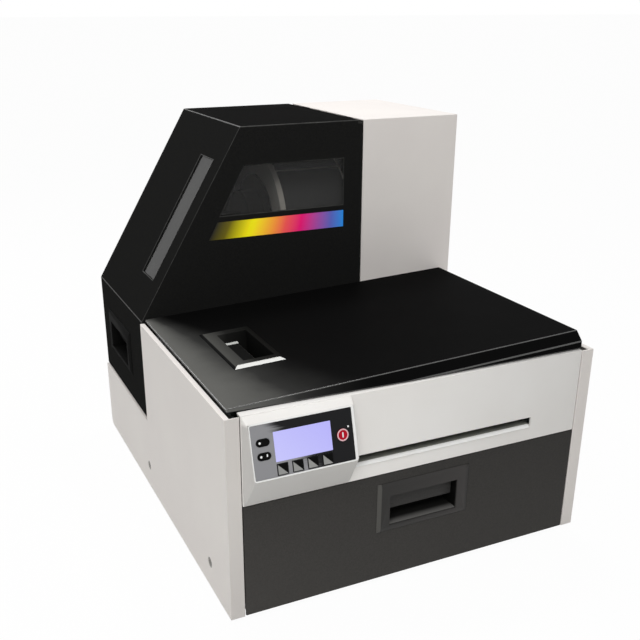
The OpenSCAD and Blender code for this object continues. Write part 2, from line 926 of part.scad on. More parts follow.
// Tower housing: white box over the right of the tower, open at its left
module tower_housing() {
  through = [body_d - sheet_t - cut, body_d + cut];
  color("#eae8e4")
  difference() {
    block([housing_x, half_w], [tower_front, body_d], [side_h, top_h]);
    block([housing_x - cut, half_w - sheet_t], [tower_front + sheet_t, body_d - sheet_t],
      [side_h - cut, top_h - sheet_t]);
    block([port_x[0] - fit, port_x[1] + fit], through, [port_h[0] - fit, port_h[1] + fit]);
    for (i = [0 : vents - 1])
      block(vent_x, through, [vent_h + i * vent_pitch, vent_h + i * vent_pitch + vent_w]);
  }
}

// Roll bay wall: steel plate that carries the spindle's bearing and the media cover's hinges
module roll_bay_wall() {
  color("#55585b")
  difference() {
    union() {
      block([bay_wall_x, bay_wall_x2], [tower_front + sheet_t, rear_wall], [bay_floor_h, top_h - sheet_t]);
      block([hinge_shelf_x, bay_wall_x + cut], [tower_front + sheet_t + cut, rear_wall],
        [hinge_shelf_h - hinge_shelf_t, hinge_shelf_h]);
      for (d = cover_hinge_d)
        cover_lug(tower_front + d);
    }
    rod_x([bay_wall_x - cut, bay_wall_x2 + cut], axis_d, spindle_h, spindle_r + cut);
    for (d = cover_hinge_d)
      cover_pin(d, cover_knuckle_w, cover_pin_r + run);
  }
}

module cover_lug(d) {
  span = [d, d + cover_knuckle_w];
  rod_y(cover_axis_x, span, cover_axis_h, cover_barrel_r);
  block([cover_axis_x, bay_wall_x + cut], span, [hinge_shelf_h - hinge_shelf_t, cover_axis_h]);
}

module cover_pin(d, half, r) {
  rod_y(cover_axis_x, [tower_front + d - half, tower_front + d + half], cover_axis_h, r);
}

// Roll bay floor with the liner that closes the bay's left side
module roll_bay_floor() {
  color("#3b3d3f")
  union() {
    block([bay_liner_x, wall_x - sheet_t], [bay_front, rear_wall], [bay_floor_low, bay_floor_h]);
    block([bay_liner_x, bay_liner_x + sheet_t], [bay_front, rear_wall], [liner_foot_h, bay_floor_h]);
  }
}

module feet() {
  color("#202020")
  for (x = [-half_w + foot_inset, half_w - foot_inset], d = [foot_inset, body_d - foot_inset])
    translate([x, front_y + d, 0])
      cylinder(h = foot_h + tray_h, r1 = foot_r - foot_taper, r2 = foot_r);
}

module panel_screws() {
  color("#c9c9c9")
  both_sides()
    for (d = [screw_d1, screw_d2])
      difference() {
        union() {
          rod_x([half_w - screw_head_t, half_w - fit], d, screw_h, screw_r);
          rod_x([wall_x - sheet_t - screw_tip, half_w - screw_head_t], d, screw_h, shank_r);
        }
        block([half_w - screw_slot_t, half_w], [d - screw_r, d + screw_r],
          [screw_h - screw_slot_w / 2, screw_h + screw_slot_w / 2]);
      }
}

// Front door, hinged along its lower edge
module front_door() {
  color("#383735")
  difference() {
    union() {
      block([-door_half, door_half], [0, door_t], [door_low, door_top]);
      block([-door_half, door_half], [0, door_d], [door_top - sheet_t, door_top]);
      both_sides() {
        block([door_half - sheet_t, door_half], [0, door_d], [door_low + 2 * door_axis, door_top]);
        for (x = [door_hinge_x - door_pin_half, door_hinge_x + door_lug_w / 2 + fit])
          door_knuckle([x, x + door_knuckle_w]);
      }
    }
    both_sides()
      door_pin(2 * door_pin_half, door_pin_r + run);
    on_door()
      cup_outer(fit, [-door_t - cut, cut]);
  }
}

module door_knuckle(x) {
  rod_x(x, door_axis, door_axis, door_barrel_r);
  block(x, [0, door_axis], [door_axis - door_barrel_r, door_axis + door_barrel_r]);
}

module door_latch_cup() {
  color("#333230")
    on_door()
      pull_cup();
}

module door_flap() {
  color("#3d3c3a")
    on_door()
      pull_flap();
}

module door_hinge_pins() {
  color("#b9bcc0")
    both_sides()
      door_pin(door_pin_half, door_pin_r);
}

// Top cover: hollow lid that rises to its hinged right edge, with a sloped front
module lid_outline() {
  polygon([[lid_x1, lid_low], [lid_x2, lid_low], [lid_x2, lid_top(lid_x2)], [lid_x1, lid_top(lid_x1)]]);
}

module lid_hollow() {
  x1 = lid_x1 + lid_solid;
  x2 = lid_x2 - sheet_t;
  polygon([[x1, lid_low - cut], [x2, lid_low - cut], [x2, lid_top(x2) - sheet_t],
    [x1, lid_top(x1) - sheet_t]]);
}

module top_cover() {
  color("#1d1d1d")
  difference() {
    union() {
      deep([lid_front, lid_rear])
        lid_outline();
      for (d = lid_hinge_d)
        lid_knuckle(d);
    }
    deep([lid_crease + sheet_t, lid_rear - sheet_t])
      lid_hollow();
    lid_facet();
    for (d = lid_hinge_d)
      lid_pin(d, 2 * lid_knuckle_w, lid_pin_r + run);
    on_lid()
      cup_outer(fit, [-cup_d, lid_right_h]);
  }
}

// What the slope takes off the front of the cover
module lid_facet() {
  off = 3 * lid_crease;
  translate([lid_x1, front_y + lid_crease, foot_h + lid_top(lid_x1)])
    rotate([0, -lid_tilt, 0])
      translate([-body_w, 0, 0])
        rotate([90, 0, 90])
          linear_extrude(3 * body_w)
            polygon([[0, 0], [-off, -off], [-off, lid_crease], [0, lid_crease]]);
}

module lid_knuckle(d) {
  span = [d - fit - lid_knuckle_w, d - fit];
  rod_y(lid_axis_x, span, lid_axis_h, lid_barrel_r);
  block([lid_x2 - sheet_t, lid_axis_x], span, [lid_low, lid_axis_h + lid_barrel_r]);
}

module lid_pin(d, half, r) {
  rod_y(lid_axis_x, [d - half, d + half], lid_axis_h, r);
}

module top_cover_cup() {
  color("#1b1b1b")
    on_lid()
      pull_cup();
}

module top_cover_flap() {
  color("#242424")
    on_lid()
      pull_flap();
}

module top_cover_hinge_pins() {
  color("#b9bcc0")
  for (d = lid_hinge_d)
    lid_pin(d, lid_knuckle_w, lid_pin_r);
}

// Media cover: black hood with a slanted left side, hinged along the tower's top
module cover_skin() {
  n = [sin(slant_a), -cos(slant_a)];
  q1 = slant_low + sheet_t * (1 - n[0]) / n[1];
  q2 = cover_x1 + (sheet_t - (top_h - sheet_t - slant_low) * n[1]) / n[0];
  polygon([[cover_x1, cover_low], [cover_x1, slant_low], [slant_x, top_h], [cover_lip_x, top_h],
    [cover_lip_x, top_h - sheet_t], [q2, top_h - sheet_t], [cover_x1 + sheet_t, q1],
    [cover_x1 + sheet_t, cover_low]]);
}

module cover_end() {
  polygon([[cover_x1, cover_low], [cover_x1, slant_low], [slant_x, top_h], [cover_lip_x, top_h],
    [cover_lip_x, cover_notch_h], [cover_edge, cover_notch_h], [cover_edge, cover_wall_low],
    [ear_x, cover_wall_low], [ear_x, cover_low]]);
}

module window_outline(grow) {
  polygon([[win_x1 - grow, win_low - grow], [win_x3 + grow, win_low - grow],
    [win_x3 + grow, win_high + grow], [win_x2 - grow, win_high + grow]]);
}

module media_cover() {
  color("#1c1c1c")
  difference() {
    union() {
      deep([tower_front, body_d])
        cover_skin();
      deep([tower_front, tower_front + sheet_t])
        cover_end();
      deep([body_d - sheet_t, body_d])
        cover_end();
      for (d = cover_hinge_d)
        cover_knuckle(tower_front + d);
    }
    deep([tower_front - cut, tower_front + sheet_t + cut])
      window_outline(0);
    on_slant()
      slab([strip_s1, strip_s2], [strip_d, strip_d + strip_w], [-sheet_t - cut, cut]);
    for (d = cover_hinge_d)
      cover_pin(d, 2 * cover_knuckle_w, cover_pin_r + run);
    on_cover()
      cup_outer(fit, [-sheet_t - cut, cut]);
  }
}

module cover_knuckle(d) {
  span = [d - fit - cover_knuckle_w, d - fit];
  rod_y(cover_axis_x, span, cover_axis_h, cover_barrel_r);
  block([cover_lip_x - cover_knuckle_in, cover_axis_x], span,
    [cover_axis_h - cover_barrel_r, top_h - sheet_t]);
  block([cover_lip_x - cover_knuckle_in, cover_lip_x], span,
    [cover_axis_h - cover_barrel_r, top_h - sheet_t / 2]);
}

module media_cover_cup() {
  color("#1a1a1a")
    on_cover()
      pull_cup();
}

module media_cover_flap() {
  color("#242424")
    on_cover()
      pull_flap();
}

module media_cover_hinge_pins() {
  color("#b9bcc0")
  for (d = cover_hinge_d)
    cover_pin(d, cover_knuckle_w, cover_pin_r);
}

module front_window() {
  color("#4a4a4c", 0.6)
    deep([tower_front + sheet_t, tower_front + sheet_t + pane_t])
      window_outline(pane_lap);
}

module strip_window() {
  color("#6a6a6c", 0.6)
    on_slant()
      slab([strip_s1 - pane_lap, strip_s2 + pane_lap], [strip_d - pane_lap, strip_d + strip_w + pane_lap],
        [-sheet_t - pane_t, -sheet_t]);
}

module colour_band() {
  slope = (win_x2 - win_x1) / (win_high - win_low);
  color("#d0307a")
    deep([tower_front - band_t, tower_front])
      polygon([[win_x1 - slope * (win_low - band_low), band_low], [win_x3, band_low],
        [win_x3, band_high], [win_x1 - slope * (win_low - band_high), band_high]]);
}

// Control pod: white housing with a face that leans back
module pod_body() {
  intersection() {
    across([face_x1 - flange_w, face_x2 + flange_w])
      polygon([[0, fascia_top], [-brow_out, face_high], [-nose_out, face_low], [0, fascia_low]]);
    translate([0, front_y, foot_h])
      linear_extrude(fascia_top)
        polygon([[-door_half, 0], [face_x1 - pod_splay[0], -brow_out], [face_x1, -nose_out - cut],
          [face_x2, -nose_out - cut], [face_x2 + pod_splay[1], 0]]);
  }
}

module control_pod() {
  color("#eceae6")
  difference() {
    union() {
      difference() {
        pod_body();
        on_face()
          slab([-pod_floor_u, pod_floor_u], [-pod_floor_v, pod_floor_v], [-pod_deep, floor_w]);
      }
      on_face()
        for (u = [-post_u, post_u], v = [-post_v, post_v])
          translate([u, v, board_w])
            cylinder(h = floor_w - board_w + cut, r = post_r);
    }
    on_face() {
      pad([overlay_u, 0], [overlay_l + fit, overlay_h + fit], [overlay_back, cut]);
      pad([lcd_u, lcd_v], [lcd_l + 2 * fit, lcd_h + 2 * fit], [floor_w - cut, cut]);
      key_holes();
    }
  }
}

// Holes for all keys, through the overlay and the pod's floor
module key_holes() {
  deep_cut = 2 * cut - floor_w;
  for (i = [0 : 3])
    pad([key_u + i * key_pitch, key_v], [key_w + 2 * fit, key_w + 2 * fit], [floor_w - cut, cut]);
  translate([power_u, power_v, floor_w - cut])
    cylinder(h = deep_cut, r = power_r + fit);
  for (v = menu_v)
    translate([menu_u, v, floor_w - cut])
      linear_extrude(deep_cut)
        stadium(menu_l + 2 * fit, menu_h + 2 * fit);
}

module stadium(l, h) {
  square([l - h, h], center = true);
  for (s = [-1, 1])
    translate([s * (l - h) / 2, 0])
      circle(r = h / 2);
}

module control_overlay() {
  color("#161618")
  on_face()
    difference() {
      pad([overlay_u, 0], [overlay_l, overlay_h], [overlay_back, -overlay_sink]);
      pad([lcd_u, lcd_v], [lcd_l, lcd_h], [overlay_back - cut, cut]);
      key_holes();
    }
}

module lcd_module() {
  color("#bdbbff")
  on_face()
    union() {
      pad([lcd_u, lcd_v], [lcd_l - fit, lcd_h - fit], [floor_w, -overlay_sink - fit]);
      pad([lcd_u, lcd_v], [lcd_l + 2 * lcd_rim, lcd_h + lcd_rim / 2], [board_w, floor_w]);
    }
}

module control_board() {
  color("#1f5a34")
  on_face()
    union() {
      pad([0, 0], [2 * board_u, 2 * board_v], [board_w - board_t, board_w]);
      for (i = [0 : 3])
        tact_switch([key_u + i * key_pitch, key_v]);
      tact_switch([power_u, power_v]);
      for (v = menu_v)
        tact_switch([menu_u, v]);
    }
}

module tact_switch(mid) {
  pad(mid, [switch_w, switch_w], [board_w, board_w + switch_t]);
}

// Stem and retaining rim behind a key's cap
module key_back(rim) {
  pad([0, 0], rim, [key_foot, key_rim_w]);
  translate([0, 0, stem_end])
    cylinder(h = key_rim_w - stem_end, r = stem_r);
}

module soft_key(i) {
  color("#2a2a2c")
  on_face()
    translate([key_u + (i - 1) * key_pitch, key_v, 0])
      union() {
        pad([0, 0], [key_w, key_w], [key_foot, key_top]);
        key_back([key_w + 2 * key_rim, key_w - 2 * key_rim]);
      }
}

module soft_key_1() soft_key(1);
module soft_key_2() soft_key(2);
module soft_key_3() soft_key(3);
module soft_key_4() soft_key(4);

module power_button() {
  color("#b40a28")
  on_face()
    translate([power_u, power_v, 0])
      union() {
        translate([0, 0, key_foot])
          cylinder(h = key_top - key_foot, r = power_r);
        key_back([2 * power_r + 2 * key_rim, power_r]);
      }
}

module menu_key(v) {
  color("#0d0d0e")
  on_face()
    translate([menu_u, v, 0])
      union() {
        translate([0, 0, key_foot])
          linear_extrude(key_top - key_foot)
            stadium(menu_l, menu_h);
        key_back([menu_l + key_rim, menu_h / 2]);
      }
}

module menu_key_upper() menu_key(menu_v[0]);
module menu_key_lower() menu_key(menu_v[1]);

// Label roll on its core, spindle with the gripping hub, and the guide flange with its knob
module roll_rod(x, r) {
  rod_x(x, axis_d, spindle_h, r);
}

module label_roll() {
  color("#efece4")
  difference() {
    roll_rod([roll_x, roll_x2], roll_r);
    roll_rod([roll_x - cut, roll_x2 + cut], core_out + run);
  }
}

module roll_core() {
  color("#b08a5a")
  difference() {
    roll_rod([roll_x, roll_x2], core_out);
    roll_rod([roll_x - cut, roll_x2 + cut], core_r);
  }
}

module spindle() {
  color("#aeb2b6")
  union() {
    roll_rod([sleeve_x1 + knob_end + bearing_end, bay_wall_x2 + bearing_l - 2 * bearing_end], spindle_r);
    roll_rod([roll_x + hub_in, roll_x2 - hub_in], core_r - fit);
    roll_rod([roll_x2 - hub_in, bay_wall_x - cut], shoulder_r);
  }
}

module roll_flange() {
  color("#2b2b2d")
  difference() {
    union() {
      roll_rod([flange_x - fit, roll_x - fit], flange_r);
      roll_rod([flange_x - boss_l, flange_x], boss_out);
      roll_rod([sleeve_x1, flange_x], spindle_r + sleeve_t);
      roll_rod([sleeve_x1, sleeve_x1 + knob_l], knob_r);
    }
    roll_rod([sleeve_x1 + knob_end, roll_x + cut], spindle_r + run);
  }
}

module spindle_bearing() {
  color("#6f7478")
  difference() {
    union() {
      roll_rod([bay_wall_x2, bay_wall_x2 + bearing_flange_t], bearing_flange_r);
      roll_rod([bay_wall_x2, bay_wall_x2 + bearing_l], bearing_r);
    }
    roll_rod([bay_wall_x, bay_wall_x2 + bearing_l - bearing_end], spindle_r + run);
  }
}

// Print head on its bridge, and the platen under it
module printhead() {
  color("#2d3033")
  union() {
    block([upright_x1, upright_x2], [head_d - bridge_half, head_d + bridge_half], [bridge_low, bridge_top]);
    block([upright_x1 + head_in, upright_x2 - head_in],
      [head_d - head_half, head_d + head_half], [head_low, bridge_low]);
  }
}

module platen() {
  color("#c3c7ca")
    block([upright_x1, upright_x2], [platen_front, engine_rear],
      [path_h - platen_drop - platen_t, path_h - platen_drop]);
}

module feed_roller() {
  color("#2a2a2a")
  union() {
    rod_x(sleeve_x, feed_d, feed_h, feed_r);
    rod_x([upright_x1 - upright_t - journal_out, gear_x + gear_w + journal_out], feed_d, feed_h, journal_r);
  }
}

module pinch_roller() {
  color("#454545")
  union() {
    rod_x(sleeve_x, feed_d, pinch_h, pinch_r);
    rod_x([upright_x1 - upright_t - journal_out, upright_x2 + upright_t + cut], feed_d, pinch_h,
      pinch_journal_r);
  }
}

// Gear's toothed disc, on an axis across the width
module gear_disc(d, h, turn, teeth) {
  translate([gear_x, front_y + d, foot_h + h])
    rotate([90, 0, 90])
      linear_extrude(gear_w)
        rotate(turn)
          polygon(gear_outline(teeth));
}

module feed_gear() {
  color("#d8d2c0")
  difference() {
    gear_disc(feed_d, feed_h, 0, gear_teeth);
    rod_x([gear_x - cut, gear_x + gear_w + cut], feed_d, feed_h, journal_r + run);
  }
}

module feed_motor() {
  color("#75797d")
  difference() {
    rod_x([upright_x2 - motor_l, upright_x2], motor_d, motor_h, motor_r);
    rod_x([upright_x2 - motor_l + motor_cap, upright_x2 + cut], motor_d, motor_h, motor_shaft_r + run);
  }
}

module motor_pinion() {
  color("#c9a24a")
  union() {
    gear_disc(motor_d, motor_h, mesh_a + 180 - 180 / pinion_teeth, pinion_teeth);
    rod_x([upright_x2 - motor_l + motor_cap + cut, gear_x + gear_w + cut], motor_d, motor_h, motor_shaft_r);
  }
}

// Ink rack with a bay for each tank
module ink_rack() {
  color("#4b4e52")
  union() {
    block([-rack_w / 2, rack_w / 2], [rack_front, rack_rear], [tray_top, tray_top + rack_floor]);
    block([-rack_w / 2, rack_w / 2], [rack_back, rack_rear], [tray_top, tank_low + tank_h]);
    for (i = [0 : tanks])
      block([i * tank_pitch - rack_w / 2, i * tank_pitch - rack_w / 2 + rib_t], [tank_front, rack_rear],
        [tray_top, tank_low + tank_h / 2]);
  }
}

module ink_tank(i) {
  x = (i - (tanks + 1) / 2) * tank_pitch;
  tab_top = tank_low + tank_h - tank_tab_drop;
  color(["#1b9dd0", "#c9207a", "#e8c60c", "#232323", "#3c3c3c"][i - 1])
  union() {
    block([x - tank_w / 2, x + tank_w / 2], [tank_front, tank_front + tank_d], [tank_low, tank_low + tank_h]);
    rod_y(x, [tank_front + tank_d, rack_back - fit], nozzle_h, nozzle_r);
    block([x - tank_w / 4, x + tank_w / 4], [tank_front - tank_tab_d, tank_front],
      [tab_top - tank_tab_h, tab_top]);
  }
}

module ink_tank_1() ink_tank(1);
module ink_tank_2() ink_tank(2);
module ink_tank_3() ink_tank(3);
module ink_tank_4() ink_tank(4);
module ink_tank_5() ink_tank(5);

// Main board on standoffs, with a heat sink and the data socket
module main_board() {
  sink_h = [main_h[0] + standoff_in, main_h[1] - standoff_in];
  color("#1f5a34")
  difference() {
    union() {
      block([board_x, board_x + board_t], main_d, main_h);
      for (d = [main_d[0] + standoff_in, main_d[1] - standoff_in], h = sink_h)
        rod_x([bay_wall_x2, board_x], d, h, standoff_r);
      block(port_x, [body_d - port_l, body_d - fit], port_h);
      block([board_x + board_t, board_x + board_t + sink_t], sink_d, sink_h);
    }
    block([port_x[0] + port_wall, port_x[1] - port_wall], [body_d - port_deep, body_d],
      [port_h[0] + port_wall, port_h[1] - port_wall]);
  }
}

// Power supply: vented case that stands on the tray
module power_supply() {
  color("#b4b7ba")
  difference() {
    block(psu_x, psu_d, [tray_top, psu_top]);
    block([psu_x[0] + sheet_t, psu_x[1] - sheet_t], [psu_d[0] + sheet_t, psu_d[1] - sheet_t],
      [tray_top - cut, psu_top - sheet_t]);
    for (i = [0 : psu_vents - 1])
      translate([0, i * psu_vent_pitch, 0])
        block([psu_x[0] - cut, psu_x[0] + sheet_t + cut],
          [psu_d[0] + psu_vent_pitch, psu_d[0] + psu_vent_pitch + psu_vent_w],
          [tray_top + psu_vent_pitch, psu_top - psu_vent_pitch]);
  }
}

// Cooling fan: square frame with a spider, and the bladed rotor on its shaft
module fan_frame() {
  color("#26282a")
  difference() {
    union() {
      difference() {
        block([-fan_x - fan_w / 2, -fan_x + fan_w / 2], [fan_front, rear_wall],
          [fan_h - fan_w / 2, fan_h + fan_w / 2]);
        rod_y(-fan_x, [fan_front - cut, rear_wall + cut], fan_h, fan_r);
      }
      fan_spider();
    }
    rod_y(-fan_x, [fan_front - cut, fan_front + spider_t + cut], fan_h, fan_shaft_r + run);
  }
}

module fan_spider() {
  intersection() {
    rod_y(-fan_x, [fan_front, rear_wall], fan_h, fan_r + cut);
    union() {
      rod_y(-fan_x, [fan_front, fan_front + spider_t], fan_h, hub_r);
      for (a = [45, 135])
        translate([-fan_x, front_y + fan_front, foot_h + fan_h])
          rotate([0, a, 0])
            translate([-fan_w, 0, -spider_w / 2])
              cube([2 * fan_w, spider_arm_t, spider_w]);
    }
  }
}

module fan_rotor() {
  rotor_mid = (rotor_front + rear_wall) / 2;
  color("#333638")
  union() {
    rod_y(-fan_x, [rotor_front, rear_wall - rotor_gap], fan_h, hub_r);
    rod_y(-fan_x, [fan_front + cut, rotor_front + cut], fan_h, fan_shaft_r);
    for (i = [0 : blades - 1])
      translate([-fan_x, front_y + rotor_mid, foot_h + fan_h])
        rotate([0, i * 360 / blades, 0])
          translate([hub_r - rotor_gap, 0, 0])
            rotate([blade_tilt, 0, 0])
              translate([0, -blade_t / 2, -blade_w / 2])
                cube([fan_r - hub_r - cut, blade_t, blade_w]);
  }
}

// Power inlet: socket with a flange outside the rear panel
module inlet_block(grow, d) {
  block([inlet_x - inlet_w / 2 - grow, inlet_x + inlet_w / 2 + grow], d,
    [inlet_mid - inlet_h / 2 - grow, inlet_mid + inlet_h / 2 + grow]);
}

module power_inlet() {
  outer = rear_wall + sheet_t;
  color("#18181a")
  difference() {
    union() {
      inlet_block(0, [rear_face - inlet_deep, outer]);
      inlet_block(inlet_rim, [outer, rear_face]);
    }
    inlet_block(-inlet_wall, [rear_face - inlet_deep + inlet_floor, rear_face + cut]);
    for (i = [-1 : 1])
      translate([i * contact_pitch, 0, 0])
        block([inlet_x - contact_w / 2, inlet_x + contact_w / 2],
          [rear_face - inlet_deep + contact_w, rear_face - inlet_deep + inlet_floor + cut],
          [inlet_mid - contact_h / 2, inlet_mid + contact_h / 2]);
  }
}

chassis();
engine_frame();
left_side_panel();
right_side_panel();
front_fascia();
rear_panel();
tower_housing();
roll_bay_wall();
roll_bay_floor();
feet();
panel_screws();
front_door();
door_latch_cup();
door_flap();
door_hinge_pins();
top_cover();
top_cover_cup();
top_cover_flap();
top_cover_hinge_pins();
media_cover();
media_cover_cup();
media_cover_flap();
media_cover_hinge_pins();
front_window();
strip_window();
colour_band();
control_pod();
control_overlay();
lcd_module();
control_board();
soft_key_1();
soft_key_2();
soft_key_3();
soft_key_4();
power_button();
menu_key_upper();
menu_key_lower();
label_roll();
roll_core();
spindle();
roll_flange();
spindle_bearing();
printhead();
platen();
feed_roller();
pinch_roller();
feed_gear();
feed_motor();
motor_pinion();
ink_rack();
ink_tank_1();
ink_tank_2();
ink_tank_3();
ink_tank_4();
ink_tank_5();
main_board();
power_supply();
fan_frame();
fan_rotor();
power_inlet();
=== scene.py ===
import json
import math
import bmesh
import bpy
import numpy as np
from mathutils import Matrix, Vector

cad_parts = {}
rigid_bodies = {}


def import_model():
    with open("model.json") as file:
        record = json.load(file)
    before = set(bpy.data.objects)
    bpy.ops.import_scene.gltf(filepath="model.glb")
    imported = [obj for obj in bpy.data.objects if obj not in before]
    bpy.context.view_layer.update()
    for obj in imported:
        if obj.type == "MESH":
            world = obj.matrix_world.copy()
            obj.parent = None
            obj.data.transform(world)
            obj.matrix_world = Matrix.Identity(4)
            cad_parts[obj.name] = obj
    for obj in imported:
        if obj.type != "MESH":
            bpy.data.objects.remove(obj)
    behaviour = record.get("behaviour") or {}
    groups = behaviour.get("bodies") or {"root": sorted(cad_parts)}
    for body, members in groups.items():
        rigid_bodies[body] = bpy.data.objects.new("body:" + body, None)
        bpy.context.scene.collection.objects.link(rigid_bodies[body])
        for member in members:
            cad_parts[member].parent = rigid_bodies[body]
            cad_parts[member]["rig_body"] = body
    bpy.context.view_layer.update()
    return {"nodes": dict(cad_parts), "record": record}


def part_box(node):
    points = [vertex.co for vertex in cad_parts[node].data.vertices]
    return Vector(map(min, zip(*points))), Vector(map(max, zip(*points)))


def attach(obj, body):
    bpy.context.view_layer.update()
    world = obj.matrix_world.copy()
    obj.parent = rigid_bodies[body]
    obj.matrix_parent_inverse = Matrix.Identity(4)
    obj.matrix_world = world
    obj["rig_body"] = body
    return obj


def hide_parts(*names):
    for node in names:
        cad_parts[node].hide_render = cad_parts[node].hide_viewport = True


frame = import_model()
nodes = frame["nodes"]
slotOf = {row["node"]: row["material_slot"] for row in frame["record"]["subparts"]}
bodyOf = {name: piece["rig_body"] for name, piece in nodes.items()}
mm = 0.001
print("frame loaded:", len(nodes), "nodes")


# Shared helpers

def shade(hexColour):  # sRGB hex to the linear colour that sockets take
    value = np.array([int(hexColour[i:i + 2], 16) for i in (1, 3, 5)]) / 255
    linear = np.where(value <= 0.04045, value / 12.92, ((value + 0.055) / 1.055) ** 2.4)
    return (*linear.tolist(), 1.0)


def outputOf(source):  # a node stands for its first output
    return source.outputs[0] if isinstance(source, bpy.types.Node) else source


def addNode(tree, kind, settings=None, inputs=None, stops=()):
    # a node with its settings and links; settings that are only a word name the operation
    node = tree.nodes.new("ShaderNode" + kind)
    settings = {"operation": settings} if isinstance(settings, str) else settings or {}
    for field, value in settings.items():
        setattr(node, field, value)
    for key, value in (inputs or {}).items():
        if isinstance(value, (bpy.types.Node, bpy.types.NodeSocket)):
            tree.links.new(outputOf(value), node.inputs[key])
        else:
            node.inputs[key].default_value = value
    for i, (place, colour) in enumerate(stops):
        stop = node.color_ramp.elements[i] if i < 2 else node.color_ramp.elements.new(place)
        stop.position = place
        stop.color = shade(colour)
    return node


def startMaterial(name, **sockets):  # a material, its tree, its shader and its Object coordinates
    material = bpy.data.materials.new(name)
    material.use_nodes = True
    tree = material.node_tree
    shader = tree.nodes["Principled BSDF"]
    for key, value in sockets.items():
        shader.inputs[key.replace("_", " ")].default_value = value
    where = addNode(tree, "TexCoord").outputs["Object"]
    return material, tree, shader, where


def wire(tree, shader, **sockets):  # links outputs to the shader's sockets
    for key, value in sockets.items():
        tree.links.new(outputOf(value), shader.inputs[key.replace("_", " ")])


def perMm(size):  # texture scale whose features are about size mm on metre coordinates
    return 1 / (size * mm)


def dress(name, material):  # gives a CAD node its finish
    piece = nodes[name]
    if not piece.data.materials:
        piece.data.materials.append(material)
    piece.material_slots[0].material = material


def newPiece(name, mesh, material, body, smooth=True):
    mesh.polygons.foreach_set("use_smooth", np.full(len(mesh.polygons), smooth))
    mesh.materials.clear()
    mesh.materials.append(material)
    piece = bpy.data.objects.new(name, mesh)
    bpy.context.scene.collection.objects.link(piece)
    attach(piece, body)
    return piece


def gridMesh(name, points, closeAcross=False, closeAlong=False):
    # points[i, j] is a surface of two parameters; neighbours make quads, closed where asked
    rows, columns = points.shape[:2]
    index = np.arange(rows * columns).reshape(rows, columns)
    if closeAlong:
        index = np.vstack([index, index[:1]])
    if closeAcross:
        index = np.hstack([index, index[:, :1]])
    quads = np.stack([index[:-1, :-1], index[1:, :-1], index[1:, 1:], index[:-1, 1:]], -1).reshape(-1, 4)
    mesh = bpy.data.meshes.new(name)
    mesh.from_pydata(points.reshape(-1, 3).tolist(), [], quads.tolist())
    return mesh


def cappedMesh(name, points):  # a closed section (second index) carried along a path, with its ends filled
    mesh = gridMesh(name, points, closeAcross=True)
    work = bmesh.new()
    work.from_mesh(mesh)
    bmesh.ops.holes_fill(work, edges=work.edges)
    work.to_mesh(mesh)
    work.free()
    return weldMesh(mesh)


weld = {"doubles": 1e-6, "collapsed": 1e-7}


def weldMesh(mesh):  # merges doubles, drops collapsed faces and turns every face outwards
    work = bmesh.new()
    work.from_mesh(mesh)
    bmesh.ops.remove_doubles(work, verts=work.verts, dist=weld["doubles"])
    bmesh.ops.dissolve_degenerate(work, edges=work.edges, dist=weld["collapsed"])
    bmesh.ops.recalc_face_normals(work, faces=work.faces)
    work.to_mesh(mesh)
    work.free()
    return mesh


def joinMeshes(name, meshes):
    work = bmesh.new()
    for mesh in meshes:
        work.from_mesh(mesh)
        bpy.data.meshes.remove(mesh)
    joined = bpy.data.meshes.new(name)
    work.to_mesh(joined)
    work.free()
    return joined


def placed(mesh, origin, across=(1, 0, 0), up=(0, 0, 1)):
    # moves a mesh made in (across, up, out) millimetres into the frame
    across, up = np.array(across, float), np.array(up, float)
    turn = np.stack([across, up, np.cross(across, up)])
    points = np.zeros(len(mesh.vertices) * 3)
    mesh.vertices.foreach_get("co", points)
    points = (np.array(origin) + points.reshape(-1, 3) @ turn) * mm
    mesh.vertices.foreach_set("co", points.ravel())
    mesh.update()
    return mesh


softEdge = {"weld": 2e-6, "flat": math.radians(0.5), "crease": math.radians(30), "corner": math.radians(25),
            "shortest": 3, "segments": 2}  # the shortest edge that is broken is 3 widths long


def softCopy(name, width, material, edgePaint=None):
    # the node's own shape with its long outer edges broken by a small radius, in the edge paint if given
    work = bmesh.new()
    work.from_mesh(nodes[name].data)
    bmesh.ops.remove_doubles(work, verts=work.verts, dist=softEdge["weld"])
    bmesh.ops.dissolve_limit(work, angle_limit=softEdge["flat"], verts=work.verts, edges=work.edges)
    weight = work.edges.layers.float.new("bevel_weight_edge")
    for edge in work.edges:
        if len(edge.link_faces) != 2:
            continue
        turn = edge.calc_face_angle_signed()
        edge.smooth = abs(turn) < softEdge["crease"]
        if turn > softEdge["corner"] and edge.calc_length() > softEdge["shortest"] * width * mm:
            edge[weight] = 1
    mesh = bpy.data.meshes.new(name + "_soft")
    work.to_mesh(mesh)
    work.free()
    piece = newPiece(name + "_soft", mesh, material, bodyOf[name])
    bevel = piece.modifiers.new("broken edges", "BEVEL")
    bevel.width = width * mm
    bevel.segments = softEdge["segments"]
    bevel.limit_method = "WEIGHT"
    bevel.harden_normals = True
    bevel.use_clamp_overlap = False
    if edgePaint:
        piece.data.materials.append(edgePaint)
        bevel.material = 1
    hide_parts(name)


# Materials

